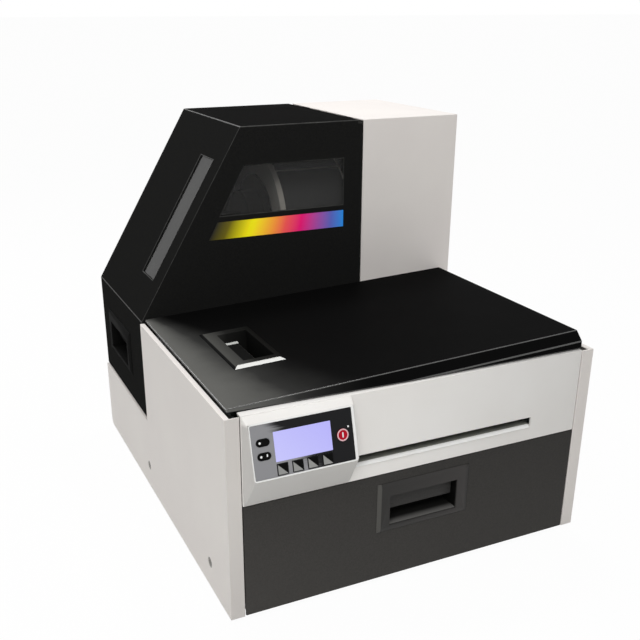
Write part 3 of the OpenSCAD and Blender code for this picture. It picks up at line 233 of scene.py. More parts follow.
def coat(name, low, high, rough, spec, grain, bump, cloud=None, grade=()):
    # paint, plastic or board: two tones on its grain, or on wider clouds, both as (size in mm, detail)
    # bump is (strength, depth in mm); a grade row (axis, start, end, first, last) scales the tone on its
    # way, as painted light and shade
    material, tree, shader, where = startMaterial(name, Roughness=rough, Specular_IOR_Level=spec)
    fine, wide = [addNode(tree, "TexNoise", inputs={"Vector": where, "Scale": perMm(size), "Detail": detail})
                  for size, detail in (grain, cloud or grain)]
    colour = addNode(tree, "ValToRGB", inputs={"Fac": wide}, stops=[(0.3, low), (0.7, high)])
    split = addNode(tree, "SeparateXYZ", inputs={"Vector": where})
    for axis, start, end, first, last in grade:
        factor = addNode(tree, "MapRange", inputs={"Value": split.outputs[axis], "From Min": start,
                                                   "From Max": end, "To Min": first, "To Max": last})
        colour = addNode(tree, "Mix", {"data_type": "RGBA", "blend_type": "MULTIPLY"},
                         {0: 1.0, 6: colour, 7: factor}).outputs[2]
    height = addNode(tree, "Bump", inputs={"Strength": bump[0], "Distance": bump[1] * mm, "Height": fine})
    wire(tree, shader, Base_Color=colour, Normal=height)
    return material


def whitePowderCoat(name, *grade):  # powder-coated sheet steel: warm white with a fine orange peel
    return coat(name, "#ebe5e1", "#f1ece7", 0.48, 0.5, (2.2, 2), (0.05, 0.2), (160, 3), grade)


def whiteAbs(name, *grade):  # injection-moulded ABS: smooth warm white with a faint spark-eroded grain
    return coat(name, "#f4f1ed", "#faf8f5", 0.4, 0.5, (1.1, 3), (0.04, 0.1), (120, 2), grade)


def blackPowderCoat(name, *grade):  # fine-textured black powder coat: deep black, soft low sheen
    return coat(name, "#1b1b1b", "#232322", 0.95, 0.006, (1.3, 3), (0.18, 0.15), grade=grade)


def charcoalPaint(name, *grade):  # textured charcoal paint on sheet steel
    return coat(name, "#393836", "#413f3d", 0.55, 0.1, (1.4, 3), (0.15, 0.15), grade=grade)


def moulded(name, low, high, rough, spec=0.4, size=30):  # plain moulded plastic with a slight cloudiness
    return coat(name, low, high, rough, spec, (0.9, 2), (0.05, 0.08), (size, 3))


# Painted sheen on the lid, a paler zone along its left edge beside painted shade: its width at the rear in
# mm, how it widens to the front, and the share of haze
lidSheen = {"rear": 30, "widen": 0.45, "haze": 0.25}


def blackLacquer():  # satin black lacquer with a painted sheen: paler along the left edge towards the front, darker further in
    material, tree, shader, where = startMaterial("satin_lacquer_black", Specular_IOR_Level=0.006)
    low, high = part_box("top_cover")
    haze = addNode(tree, "TexNoise", inputs={"Vector": where, "Scale": perMm(55), "Detail": 4})
    rough = addNode(tree, "MapRange", inputs={"Value": haze, "To Min": 0.55, "To Max": 0.65})
    split = addNode(tree, "SeparateXYZ", inputs={"Vector": where})
    rear, widen = lidSheen["rear"] * mm, lidSheen["widen"]
    reach = addNode(tree, "Math", "MULTIPLY_ADD",
                    {0: split.outputs["Y"], 1: -widen, 2: rear + widen * high.y})
    inward = addNode(tree, "Math", "SUBTRACT", {0: split.outputs["X"], 1: low.x})
    share = addNode(tree, "Math", "DIVIDE", {0: inward, 1: reach})
    cloudy = addNode(tree, "Math", "MULTIPLY_ADD", {0: haze, 1: lidSheen["haze"], 2: share})
    shadeAmount = addNode(tree, "MapRange", {"interpolation_type": "SMOOTHSTEP"},
                     {"Value": cloudy, "From Min": 0.1, "From Max": 1.1})
    # the pale stops paint the sheen of light, the dark stop is the lacquer's black
    colour = addNode(tree, "ValToRGB", inputs={"Fac": shadeAmount},
                     stops=[(0.0, "#666663"), (0.45, "#333332"), (1.0, "#0d0d0d")])
    grit = addNode(tree, "TexNoise", inputs={"Vector": where, "Scale": perMm(1.5), "Detail": 2})
    bump = addNode(tree, "Bump", inputs={"Strength": 0.06, "Distance": 0.1 * mm, "Height": grit})
    wire(tree, shader, Base_Color=colour, Roughness=rough, Normal=bump)
    return material


def edgeWearAndHighlight(name, spec, rough):
    # black paint thinned by wear on a bent edge, glossier than the face; its paler tone is partly a painted
    # highlight
    material, tree, shader, where = startMaterial(name, Specular_IOR_Level=spec)
    wear = addNode(tree, "TexNoise", inputs={"Vector": where, "Scale": perMm(14), "Detail": 4})
    colour = addNode(tree, "ValToRGB", inputs={"Fac": wear}, stops=[(0.3, "#2a2a29"), (0.7, "#454543")])
    gloss = addNode(tree, "MapRange", inputs={"Value": wear, "To Min": rough, "To Max": rough + 0.12})
    wire(tree, shader, Base_Color=colour, Roughness=gloss)
    return material


def blackAbs(name, dark, light, rough=0.5, spec=0.06):  # moulded black ABS with a leather-fine grain
    material, tree, shader, where = startMaterial(name, Roughness=rough, Specular_IOR_Level=spec)
    grain = addNode(tree, "TexVoronoi", inputs={"Vector": where, "Scale": perMm(1.2)})
    colour = addNode(tree, "ValToRGB", inputs={"Fac": grain}, stops=[(0.0, light), (0.8, dark)])
    bump = addNode(tree, "Bump", {"invert": True},
                   {"Strength": 0.2 * rough, "Distance": 0.1 * mm, "Height": grain})
    wire(tree, shader, Base_Color=colour, Normal=bump)
    return material


# Pocket in a bezel: how near counts as its floor's level and how deep the bezel is, in mm, and the dark
# painted shade inside the pocket
pocketCup = {"play": 0.5, "bezel": 2.3, "walls": "#0f0f0e"}


def bezelAbs(name, node, tones, floorLight=(), floor=0.0, rough=0.5, spec=0.05):
    # moulded ABS with painted light: tones (mm, colour) of painted highlight and shade run from the bezel's
    # left edge, and the floor is painted pale at its front as a pool of light, fading to shade further in
    material, tree, shader, where = startMaterial(name, Roughness=rough, Specular_IOR_Level=spec)
    low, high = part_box(node)
    split = addNode(tree, "SeparateXYZ", inputs={"Vector": where})

    def ramp(axis, start, end, stops):
        way = addNode(tree, "MapRange",
                      inputs={"Value": split.outputs[axis], "From Min": start, "From Max": end})
        return addNode(tree, "ValToRGB", inputs={"Fac": way},
                       stops=[(place * mm / (end - start), tone) for place, tone in stops])

    colour = ramp("X", low.x, high.x, tones)
    if floorLight:
        onFloor = addNode(tree, "Math", "COMPARE",
                          {0: split.outputs["Z"], 1: floor * mm, 2: pocketCup["play"] * mm})
        within = addNode(tree, "Math", "GREATER_THAN",
                         {0: split.outputs["Y"], 1: low.y + pocketCup["bezel"] * mm})
        # inside the pocket: the sides painted dark as shade, the floor with its painted pool of light
        pocket = addNode(tree, "Mix", {"data_type": "RGBA"},
                         {0: onFloor, 6: shade(pocketCup["walls"]), 7: ramp("Y", low.y, high.y, floorLight)})
        colour = addNode(tree, "Mix", {"data_type": "RGBA"},
                         {0: within, 6: colour, 7: pocket.outputs[2]}).outputs[2]
    grain = addNode(tree, "TexVoronoi", inputs={"Vector": where, "Scale": perMm(1.2)})
    bump = addNode(tree, "Bump", {"invert": True}, {"Strength": 0.1, "Distance": 0.1 * mm, "Height": grain})
    wire(tree, shader, Base_Color=colour, Normal=bump)
    return material


def smokedAcrylic(name, low, high, veil, spec=0.4):  # cast acrylic sheet, smoke tint: see-through, polished
    material, tree, shader, where = startMaterial(name, Roughness=0.09, IOR=1.49, Specular_IOR_Level=spec)
    cloud = addNode(tree, "TexNoise", inputs={"Vector": where, "Scale": perMm(70), "Detail": 2})
    colour = addNode(tree, "ValToRGB", inputs={"Fac": cloud}, stops=[(0.3, low), (0.7, high)])
    tint = addNode(tree, "MapRange", inputs={"Value": cloud, "To Min": veil - 0.03, "To Max": veil + 0.03})
    wire(tree, shader, Base_Color=colour, Alpha=tint)
    return material


def gradientFilm(name):
    # polyester film in daylight-fluorescent inks, blended from the slanted end to the right; its emission is
    # a painted glow
    material, tree, shader, where = startMaterial("printed_polyester_film", Roughness=0.35,
                                                  Specular_IOR_Level=0.3, Emission_Strength=0.3)
    low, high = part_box(name)
    upperLeft = min(v.co.x for v in nodes[name].data.vertices if v.co.z > (low.z + high.z) / 2)
    lean = (upperLeft - low.x) / (high.z - low.z)
    split = addNode(tree, "SeparateXYZ", inputs={"Vector": where})
    begin = addNode(tree, "Math", "MULTIPLY_ADD", {0: split.outputs["Z"], 1: lean, 2: low.x - lean * low.z})
    along = addNode(tree, "MapRange",
                    inputs={"Value": split.outputs["X"], "From Min": begin, "From Max": high.x})
    inks = [(0.0, "#14120a"), (0.1, "#5f5600"), (0.28, "#f7ea0a"), (0.46, "#f6913a"), (0.54, "#ee5550"),
            (0.66, "#e3056f"), (0.8, "#9a4aa0"), (0.9, "#5560b8"), (1.0, "#1f86dc")]
    blend = addNode(tree, "ValToRGB", inputs={"Fac": along}, stops=inks)
    # ink dots, drawn coarse
    dots = addNode(tree, "TexNoise", inputs={"Vector": where, "Scale": perMm(0.8)})
    bump = addNode(tree, "Bump", inputs={"Strength": 0.03, "Distance": 0.02 * mm, "Height": dots})
    wire(tree, shader, Base_Color=blend, Emission_Color=blend, Normal=bump)
    return material


# Frame of the tilted pod face: middle of the face, and its tilt back from upright
podFace = {"origin": np.array([-156.5, -284.0, 219.5]), "tilt": math.atan2(16, 59)}
podUp = np.array([0, math.sin(podFace["tilt"]), math.cos(podFace["tilt"])])


def faceCoordinates(tree, where):  # places on the pod face in mm: across, up, and both as a vector
    turn = podFace["tilt"]
    cosine, sine = math.cos(turn), math.sin(turn)
    x, y, z = podFace["origin"] * mm
    centre = np.array([x, y * cosine - z * sine, y * sine + z * cosine])
    mapped = addNode(tree, "Mapping",
                     inputs={"Vector": where, "Location": (-centre).tolist(), "Rotation": (turn, 0, 0)})
    scaled = addNode(tree, "VectorMath", "SCALE", {0: mapped, "Scale": 1 / mm})
    split = addNode(tree, "SeparateXYZ", inputs={"Vector": scaled})
    return split.outputs["X"], split.outputs["Z"], scaled


def printedOverlay():  # back-printed polycarbonate: grey field that breaks up into black to the right
    material, tree, shader, where = startMaterial("printed_polycarbonate_overlay", Roughness=0.35,
                                                  Specular_IOR_Level=0.12)
    across, up, place = faceCoordinates(tree, where)
    stretched = addNode(tree, "VectorMath", "MULTIPLY", {0: place, 1: (0.02, 0.0, 0.55)})
    streak = addNode(tree, "TexNoise", inputs={"Vector": stretched, "Scale": 1.0, "Detail": 3})
    # black where across + 0.86 up + 26 noise passes 0, so it begins further right towards the bottom
    lean = addNode(tree, "Math", "MULTIPLY_ADD", {0: up, 1: 0.86, 2: across})
    ragged = addNode(tree, "Math", "MULTIPLY_ADD", {0: streak, 1: 26.0, 2: lean})
    amount = addNode(tree, "MapRange", {"interpolation_type": "SMOOTHSTEP"},
                     {"Value": ragged, "From Min": -10.0, "From Max": 10.0})
    colour = addNode(tree, "ValToRGB", inputs={"Fac": amount}, stops=[(0.0, "#97979a"), (1.0, "#19191b")])
    grain = addNode(tree, "TexNoise", inputs={"Vector": where, "Scale": perMm(0.9)})
    bump = addNode(tree, "Bump", inputs={"Strength": 0.05, "Distance": 0.05 * mm, "Height": grain})
    wire(tree, shader, Base_Color=colour, Normal=bump)
    return material


def litDisplay():  # backlit display behind glass: even lavender light over a faint dot raster
    material, tree, shader, where = startMaterial("backlit_display_glass", Roughness=0.15,
                                                  Specular_IOR_Level=0.2, Base_Color=shade("#1b1b2e"),
                                                  Emission_Strength=0.97)
    across, up = faceCoordinates(tree, where)[:2]
    slope = addNode(tree, "Math", "ADD", {0: across, 1: up})
    glow = addNode(tree, "MapRange", inputs={"Value": slope, "From Min": -45.0, "From Max": 40.0})
    light = addNode(tree, "ValToRGB", inputs={"Fac": glow}, stops=[(0.0, "#c8c7fd"), (1.0, "#bab7fb")])
    raster = addNode(tree, "TexBrick", {"offset": 0.0},
                     {"Vector": addNode(tree, "CombineXYZ", inputs={"X": across, "Y": up}),
                      "Color1": (1, 1, 1, 1), "Color2": (1, 1, 1, 1), "Mortar": (0.93, 0.93, 0.95, 1),
                      "Scale": 1.0, "Mortar Size": 0.06, "Brick Width": 0.8, "Row Height": 0.8})
    shown = addNode(tree, "Mix", {"data_type": "RGBA", "blend_type": "MULTIPLY"},
                    {0: 1.0, 6: light, 7: raster})
    wire(tree, shader, Emission_Color=shown.outputs[2])
    return material


softKey = {"firstAcross": -27.8, "up": -21.9, "pitch": 17.4, "half": 6.2, "border": 0.9}


def printedKey():  # two-tone printed keys: dark rim, black corner over a grey one
    material, tree, shader, where = startMaterial("printed_key_plastic", Roughness=0.4,
                                                  Specular_IOR_Level=0.06)
    across, up = faceCoordinates(tree, where)[:2]
    begin = softKey["pitch"] / 2 - softKey["firstAcross"]
    shifted = addNode(tree, "Math", "ADD", {0: across, 1: begin})
    inKey = addNode(tree, "Math", "FLOORED_MODULO", {0: shifted, 1: softKey["pitch"]})
    side = addNode(tree, "Math", "SUBTRACT", {0: inKey, 1: softKey["pitch"] / 2})
    rise = addNode(tree, "Math", "SUBTRACT", {0: up, 1: softKey["up"]})
    corner = addNode(tree, "Math", "ADD", {0: side, 1: rise})
    tone = addNode(tree, "MapRange", inputs={"Value": corner, "From Min": -0.15, "From Max": 0.15})
    two = addNode(tree, "Mix", {"data_type": "RGBA"}, {0: tone, 6: shade("#9e9e9c"), 7: shade("#050505")})
    wide = addNode(tree, "Math", "ABSOLUTE", {0: side})
    tall = addNode(tree, "Math", "ABSOLUTE", {0: rise})
    reach = addNode(tree, "Math", "MAXIMUM", {0: wide, 1: tall})
    inner = softKey["half"] - softKey["border"]
    rim = addNode(tree, "MapRange", inputs={"Value": reach, "From Min": inner, "From Max": inner + 0.15})
    colour = addNode(tree, "Mix", {"data_type": "RGBA"}, {0: rim, 6: two.outputs[2], 7: shade("#1a1a1a")})
    wire(tree, shader, Base_Color=colour.outputs[2])
    return material


def zincSteel():  # hot-dip galvanised sheet: pale grey metal with spangles
    material, tree, shader, where = startMaterial("galvanised_sheet_steel", Metallic=1.0)
    spangle = addNode(tree, "TexVoronoi", inputs={"Vector": where, "Scale": perMm(9)})
    tone = addNode(tree, "SeparateColor", inputs={"Color": spangle.outputs["Color"]})
    colour = addNode(tree, "ValToRGB", inputs={"Fac": tone.outputs["Red"]},
                     stops=[(0.0, "#b4b8ba"), (1.0, "#c9cdce")])
    rough = addNode(tree, "MapRange",
                    inputs={"Value": tone.outputs["Green"], "To Min": 0.36, "To Max": 0.5})
    wire(tree, shader, Base_Color=colour, Roughness=rough)
    return material


def brushedMetal(name, low, high, rough, stretch):  # metal with fine grinding lines along one axis
    material, tree, shader, where = startMaterial(name, Metallic=1.0)
    lines = addNode(tree, "VectorMath", "MULTIPLY", {0: where, 1: stretch})
    grain = addNode(tree, "TexNoise", inputs={"Vector": lines, "Scale": perMm(0.7), "Detail": 3})
    colour = addNode(tree, "ValToRGB", inputs={"Fac": grain}, stops=[(0.3, low), (0.7, high)])
    gloss = addNode(tree, "MapRange",
                    inputs={"Value": grain, "To Min": rough - 0.07, "To Max": rough + 0.07})
    bump = addNode(tree, "Bump", inputs={"Strength": 0.06, "Distance": 0.03 * mm, "Height": grain})
    wire(tree, shader, Base_Color=colour, Roughness=gloss, Normal=bump)
    return material


labelRoll = {"inner": 42.3, "outer": 97.0, "rings": 44, "ringDepth": 0.14, "labels": 9, "gap": 3.0,
             "columns": ((8.0, 105.0),), "turn": 0.35, "label": 0.15, "steps": 320, "corner": (0.3, 0.4),
             "steep": 0.2, "fade": 0.4, "crease": math.radians(35)}


def rollPaper():  # label stock: charcoal label faces on a white liner, winding lines on the ends
    material, tree, shader, where = startMaterial("coated_label_stock", Roughness=0.6,
                                                  Specular_IOR_Level=0.3)
    middle = (np.array(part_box("label_roll")[0]) + np.array(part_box("label_roll")[1])) / 2
    local = addNode(tree, "VectorMath", "SUBTRACT", {0: where, 1: middle.tolist()})
    flat = addNode(tree, "VectorMath", "MULTIPLY", {0: local, 1: (0, 1, 1)})
    radius = addNode(tree, "VectorMath", "LENGTH", {0: flat})
    winding = addNode(tree, "TexNoise", {"noise_dimensions": "1D"},
                      {"W": radius.outputs["Value"], "Scale": perMm(1.6), "Detail": 4})
    liner = addNode(tree, "ValToRGB", inputs={"Fac": winding}, stops=[(0.3, "#d9d4c8"), (0.62, "#f4f1ea")])
    # a label's face is the outermost 0.15 mm of the roll
    face = (labelRoll["outer"] - labelRoll["label"] / 2) * mm
    onLabel = addNode(tree, "MapRange",
                      inputs={"Value": radius.outputs["Value"], "From Min": face - 0.03 * mm,
                              "From Max": face + 0.03 * mm})
    colour = addNode(tree, "Mix", {"data_type": "RGBA"}, {0: onLabel, 6: liner, 7: shade("#3c3c3b")})
    wire(tree, shader, Base_Color=colour.outputs[2])
    return material


def solderMask():  # glass-epoxy board under green solder mask, with copper tracks showing through
    material, tree, shader, where = startMaterial("green_solder_mask", Roughness=0.3)
    tracks = addNode(tree, "TexVoronoi", {"distance": "MANHATTAN", "feature": "DISTANCE_TO_EDGE"},
                     {"Vector": where, "Scale": perMm(5)})
    colour = addNode(tree, "ValToRGB", inputs={"Fac": tracks}, stops=[(0.04, "#2f7a3f"), (0.09, "#14502a")])
    bump = addNode(tree, "Bump", {"invert": True},
                   {"Strength": 0.2, "Distance": 0.05 * mm, "Height": tracks})
    wire(tree, shader, Base_Color=colour, Normal=bump)
    return material


def inkTank(name, ink, pale):  # blow-moulded polypropylene, tinted by the ink up to its level
    material, tree, shader, where = startMaterial(name, Roughness=0.35, Specular_IOR_Level=0.4,
                                                  Subsurface_Weight=0.15, Subsurface_Radius=[4 * mm] * 3)
    split = addNode(tree, "SeparateXYZ", inputs={"Vector": where})
    ripple = addNode(tree, "TexNoise", inputs={"Vector": where, "Scale": perMm(25)})
    level = addNode(tree, "Math", "MULTIPLY_ADD", {0: ripple, 1: 2 * mm, 2: split.outputs["Z"]})
    above = addNode(tree, "MapRange", inputs={"Value": level, "From Min": 100 * mm, "From Max": 103 * mm})
    colour = addNode(tree, "ValToRGB", inputs={"Fac": above}, stops=[(0.0, ink), (1.0, pale)])
    wire(tree, shader, Base_Color=colour)
    return material


finish = {
    "white_panel": whitePowderCoat("powder_coated_steel_white"),
    "white_plastic": whiteAbs("moulded_abs_white"),
    "grey_panel": coat("powder_coated_steel_grey", "#d2d0cc", "#dddbd7", 0.55, 0.5, (1.8, 3), (0.12, 0.2)),
    "black_paint": blackPowderCoat("powder_coated_steel_black"),
    "dark_paint": charcoalPaint("textured_paint_charcoal"),
    "black_plastic": blackAbs("moulded_abs_black", "#141414", "#1d1d1c"),
    "smoked_acrylic": smokedAcrylic("cast_acrylic_smoke", "#343433", "#3a3a39", 0.27),
    "colour_film": gradientFilm("colour_band"),
    "overlay_film": printedOverlay(),
    "display_glass": litDisplay(),
    "key_plastic": printedKey(),
    "red_plastic": moulded("moulded_key_crimson", "#b0021f", "#c00426", 0.35, 0.15),
    "zinc_steel": zincSteel(),
    "bright_steel": brushedMetal("ground_steel", "#a9acb0", "#c6c9cc", 0.28, (1, 0.05, 1)),
    "aluminium": brushedMetal("brushed_aluminium", "#b9bbbd", "#d2d4d5", 0.34, (0.05, 1, 1)),
    "rubber": moulded("moulded_rubber_black", "#161616", "#1f1f1f", 0.75, 0.25, 8),
    "brass": brushedMetal("turned_brass", "#b8923f", "#d0ab57", 0.3, (1, 0.1, 0.1)),
    "gear_plastic": moulded("natural_acetal", "#ddd6c2", "#e8e2d1", 0.4, 0.45, 12),
    "paper": rollPaper(),
    "cardboard": coat("spiral_wound_kraft_board", "#8f6a43", "#b58e62", 0.8, 0.5, (2.5, 5), (0.3, 0.1)),
    "board": solderMask(),
    "ink_cyan": inkTank("polypropylene_cyan_ink", "#0f8fc4", "#bcd9e4"),
    "ink_magenta": inkTank("polypropylene_magenta_ink", "#b81462", "#e3c1d0"),
    "ink_yellow": inkTank("polypropylene_yellow_ink", "#e6b712", "#eadfb8"),
    "ink_black": inkTank("polypropylene_black_ink", "#1b1b1d", "#b9b9bb"),
}
lidLacquer = blackLacquer()


# Coats with painted light and shade, whose tone changes across the piece: an axis, two places in metres, and
# the factors there

faceDepth = 0.4 * mm  # what lies this near a face counts as the face


def edgesOf(name, axis):  # where a node begins and ends along an axis
    return [getattr(corner, axis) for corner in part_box(name)]


def shadedReturnCoat(name, tone):  # white coat with painted shade: greyer on the panel's front return
    front = edgesOf(name, "y")[0]
    return whitePowderCoat("powder_coated_steel_white_" + name, ("Y", front, front + faceDepth, tone, 1.0))


hoodTop = edgesOf("media_cover", "z")[1]
paintedLightCoat = {
    "left_side_panel": shadedReturnCoat("left_side_panel", 0.8),
    "right_side_panel": shadedReturnCoat("right_side_panel", 0.87),
    # fascia: painted shade, darker towards the right
    "front_fascia": whiteAbs("moulded_abs_white_fascia",
                             ("X", -50 * mm, edgesOf("front_fascia", "x")[1], 1.0, 0.81)),
    # tower: painted light, paler towards its bottom
    "tower_housing": whitePowderCoat("powder_coated_steel_white_tower",
                                     ("Z", 265 * mm, 420 * mm, 1.12, 1.0)),
    # hood: painted shade on its top face
    "media_cover": blackPowderCoat("powder_coated_steel_black_hood",
                                   ("Z", hoodTop - faceDepth, hoodTop, 1.0, 0.4)),
    # door: painted light and shade, paler to the left and bottom, darker to the right and top
    "front_door": charcoalPaint("textured_paint_charcoal_door",
                                ("X", *edgesOf("front_door", "x"), 1.15, 0.85),
                                ("Z", *edgesOf("front_door", "z"), 1.2, 0.9)),
    # pod: painted shade below its roof edge, and a roof painted paler
    "control_pod": whiteAbs("moulded_abs_white_pod", ("Z", 246 * mm, 250 * mm, 0.7, 1.05)),
}
paintEdge = edgeWearAndHighlight("paint_edge_wear_and_highlight", 0.1, 0.4)
lidEdge = edgeWearAndHighlight("lacquer_edge_wear_and_highlight", 0.8, 0.2)
doorFlap = blackAbs("moulded_abs_charcoal", "#3a3938", "#424140", 0.45, 0.12)
# door pull: painted highlight on the bezel's left slope, a darker painted right end, and a pale painted
# front on the pocket floor
doorCup = bezelAbs("moulded_abs_charcoal_painted_light", "door_latch_cup",
                   [(0.0, "#565552"), (4.4, "#565552"), (5.2, "#373635"), (119.0, "#413f3e"),
                    (125.0, "#2b2a29")],
                   [(0.0, "#7f7e7b"), (6.0, "#6a6967"), (14.0, "#1c1c1b")], 81.0, 0.45, 0.12)
# lid pull: painted shade on the bezel's left slope, then a painted sheen that darkens to the right
lidCup = bezelAbs("moulded_abs_black_painted_light", "top_cover_cup",
                  [(0.0, "#070707"), (2.6, "#070707"), (3.4, "#4d4d4a"), (14.0, "#41413f"),
                   (30.0, "#232322"), (60.0, "#151514")], spec=0.01)
# pale metal strips for the lid pull: painted highlights
pullHighlightTrim = brushedMetal("satin_aluminium_highlight_trim", "#aeaeac", "#bebebb", 0.6, (0.05, 1, 1))
ribHighlightTrim = brushedMetal("satin_aluminium_highlight_rib", "#929391", "#a2a29f", 0.6, (0.05, 1, 1))
hoodPull = blackAbs("moulded_abs_black_fine", "#121212", "#181817", 0.7, 0.015)
# screw steel toned dark: painted shade of the screw dimples
shadedScrewSteel = brushedMetal("screw_steel_painted_shade", "#6f6d68", "#85837d", 0.45, (1, 1, 0.2))
stripGlass = smokedAcrylic("cast_acrylic_pale_smoke", "#2f2f2e", "#343433", 0.78, 0.2)
# grey of the exit guide plates, partly painted shade deep in the slot
shadedGuidePlate = moulded("moulded_abs_grey", "#7f807a", "#888982", 0.5, 0.1)
menuKey = moulded("moulded_key_black", "#060606", "#0b0b0b", 0.35, 0.05)
# whiter than the fascia and pod: a painted highlight on the exit lip and the face rim
highlightAbs = moulded("moulded_abs_bright_white", "#fafaf8", "#fdfdfc", 0.35, 0.4)
labelPaper = moulded("coated_label_paper", "#e9e7e1", "#f3f1ec", 0.6, 0.2)
printWhite = moulded("printed_ink_white", "#f1f1f1", "#f8f8f8", 0.5)
printPink = moulded("printed_ink_pink", "#f4c3c9", "#f8d0d4", 0.45)
for name in nodes:
    dress(name, finish[slotOf[name]])
dress("strip_window", stripGlass)
dress("panel_screws", shadedScrewSteel)
print("materials made:", len(bpy.data.materials))


# Panels and mouldings with broken edges, widths in mm
brokenEdge = {
    "left_side_panel": 0.8, "right_side_panel": 0.8, "front_fascia": 0.8, "tower_housing": 0.8,
    "media_cover": 1.0, "top_cover": 1.0, "front_door": 0.7, "control_pod": 1.6,
    "door_latch_cup": 0.5, "top_cover_cup": 0.5, "media_cover_cup": 0.5,
    "door_flap": 0.6, "top_cover_flap": 0.6, "media_cover_flap": 0.6,
    "power_button": 0.4, "menu_key_upper": 0.4, "menu_key_lower": 0.4,
    "printhead": 1.0, "power_inlet": 0.5, "fan_frame": 0.8,
}
special = {
    "top_cover": lidLacquer, "top_cover_cup": lidCup, "top_cover_flap": hoodPull,
    "door_latch_cup": doorCup, "door_flap": doorFlap,
    "media_cover_cup": hoodPull, "media_cover_flap": hoodPull,
    "menu_key_upper": menuKey, "menu_key_lower": menuKey, **paintedLightCoat,
}
edgeFinish = {"media_cover": paintEdge, "top_cover": lidEdge, "top_cover_flap": paintEdge}
for i in range(4):
    brokenEdge[f"soft_key_{i + 1}"] = 0.35
for i in range(5):
    brokenEdge[f"ink_tank_{i + 1}"] = 3.0
for name, width in brokenEdge.items():
    softCopy(name, width, special.get(name, finish[slotOf[name]]), edgeFinish.get(name))
print("soft edges on", len(brokenEdge), "pieces")


# Label roll

def buildLabelRoll():
    # a lathe round X: the ends step in and out by the ring depth, the rim is lower where no label lies
    low, high = [np.array(corner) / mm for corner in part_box("label_roll")]
    steps, steep = labelRoll["steps"], labelRoll["steep"]
    inset, drop = labelRoll["corner"]
    wide = high[0] - low[0]
    angle = np.linspace(0, 2 * np.pi, steps, endpoint=False)
    radii = np.linspace(labelRoll["inner"], labelRoll["outer"] - drop, labelRoll["rings"] * 2 + 1)
    wave = labelRoll["ringDepth"] * (np.arange(len(radii)) % 2 == 0)
    columns = np.array(labelRoll["columns"])
    across = np.sort(np.concatenate([[0, inset, wide - inset, wide], columns[:, 0] - steep, columns[:, 0],
                                     columns.mean(1), columns[:, 1], columns[:, 1] + steep]))
    left = np.stack([low[0] + wave, radii], -1)
    right = np.stack([high[0] - wave, radii], -1)[::-1]
    rim = np.stack([low[0] + across, np.full(len(across), labelRoll["outer"])], -1)
    profile = np.vstack([left, rim, right])
    spread = np.broadcast_to(profile[:, 1:], (len(profile), steps)).copy()
    pitch = 2 * np.pi / labelRoll["labels"]
    away = np.abs((angle + labelRoll["turn"] * pitch) % pitch - pitch / 2) * labelRoll["outer"]
    onLabel = np.clip((away - labelRoll["gap"] / 2) / labelRoll["fade"], 0, 1)
    begins, ends = columns.T
    inside = ((across[:, None] > begins - steep / 2) & (across[:, None] < ends + steep / 2)).any(1)
    start = len(left)
    spread[start:start + len(rim)] -= labelRoll["label"] * (1 - np.outer(inside, onLabel))
    points = np.stack([np.broadcast_to(profile[:, :1], spread.shape), spread * np.cos(angle),
                       spread * np.sin(angle)], -1)
    middle = (low + high) / 2
    points = (points + [0, middle[1], middle[2]]) * mm
    mesh = weldMesh(gridMesh("label_roll_wound", points, closeAcross=True, closeAlong=True))
    piece = newPiece("label_roll_wound", mesh, finish["paper"], "roll")
    mesh.set_sharp_from_angle(angle=labelRoll["crease"])
    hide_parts("label_roll")


buildLabelRoll()
print("label roll wound")


# Label exit: grey guide plates on the chute's floor and under its roof, partly standing in for the shade
# deep in the slot, and a lip whiter than the fascia as a painted highlight, in mm

exitGuide = {"left": -92.7, "right": 153.7, "floor": 169.75, "roof": 180.25, "lip": -264.6, "inner": -213.0,
             "roofFront": -264.5, "roofRear": -241.0, "thick": 0.5, "rise": 0.85, "curl": 0.25, "roll": 0.2,
             "steps": 7}
exitLip = {"left": -95.0, "right": 151.5, "rear": -264.0, "front": -269.8, "top": 170.4, "low": 167.9,
           "slope": (3.4, 2.0), "edge": 0.25}


def barMesh(name, span, loop):  # a (y, z) section carried along X over the span's left and right
    points = [np.column_stack([np.full(len(loop), span[end]), loop]) for end in ("left", "right")]
    return cappedMesh(name, np.stack(points) * mm)


def guideMesh(name, front, rear, level, side):
    # a sheet whose front edge rolls over the lip: level - curl (1 - t / roll)^2, t from 0 at the front to 1
    along = np.concatenate([np.linspace(0, exitGuide["roll"], exitGuide["steps"]), [1.0]])
    drop = exitGuide["curl"] * np.clip(1 - along / exitGuide["roll"], 0, 1) ** 2
    upper = np.stack([front + (rear - front) * along, level - side * drop], -1)
    lower = upper - [0, side * exitGuide["thick"]]
    return barMesh(name, exitGuide, np.vstack([upper, lower[::-1]]))


def lipMesh(name):  # a bar whose upper front edge slopes down to the front
    rear, front, top, low = (exitLip[key] for key in ("rear", "front", "top", "low"))
    back, down = exitLip["slope"]
    loop = [[rear, top], [front + back, top], [front, top - down], [front, low], [rear, low]]
    return barMesh(name, exitLip, np.array(loop))


def buildExitGuides():
    guide = exitGuide
    floor = guideMesh("floor", guide["lip"], guide["inner"], guide["floor"] + guide["rise"], 1)
    roof = guideMesh("roof", guide["roofFront"], guide["roofRear"], guide["roof"] - guide["rise"], -1)
    plates = joinMeshes("exit_guides", [floor, roof])
    newPiece("exit_guides", plates, shadedGuidePlate, "body", False)
    lip = newPiece("exit_lip", lipMesh("exit_lip"), highlightAbs, "body", False)
    bevel = lip.modifiers.new("broken edges", "BEVEL")
    bevel.width = exitLip["edge"] * mm


buildExitGuides()
print("exit guides set")


# Bright metal strips on the top cover's pull, set where it catches the light, as painted highlights: over
# the bezel's front slope, and a rib near the flap's rear end
# path rows are (towards the front, out of the cover) in mm, half is half the width, middle its shift right

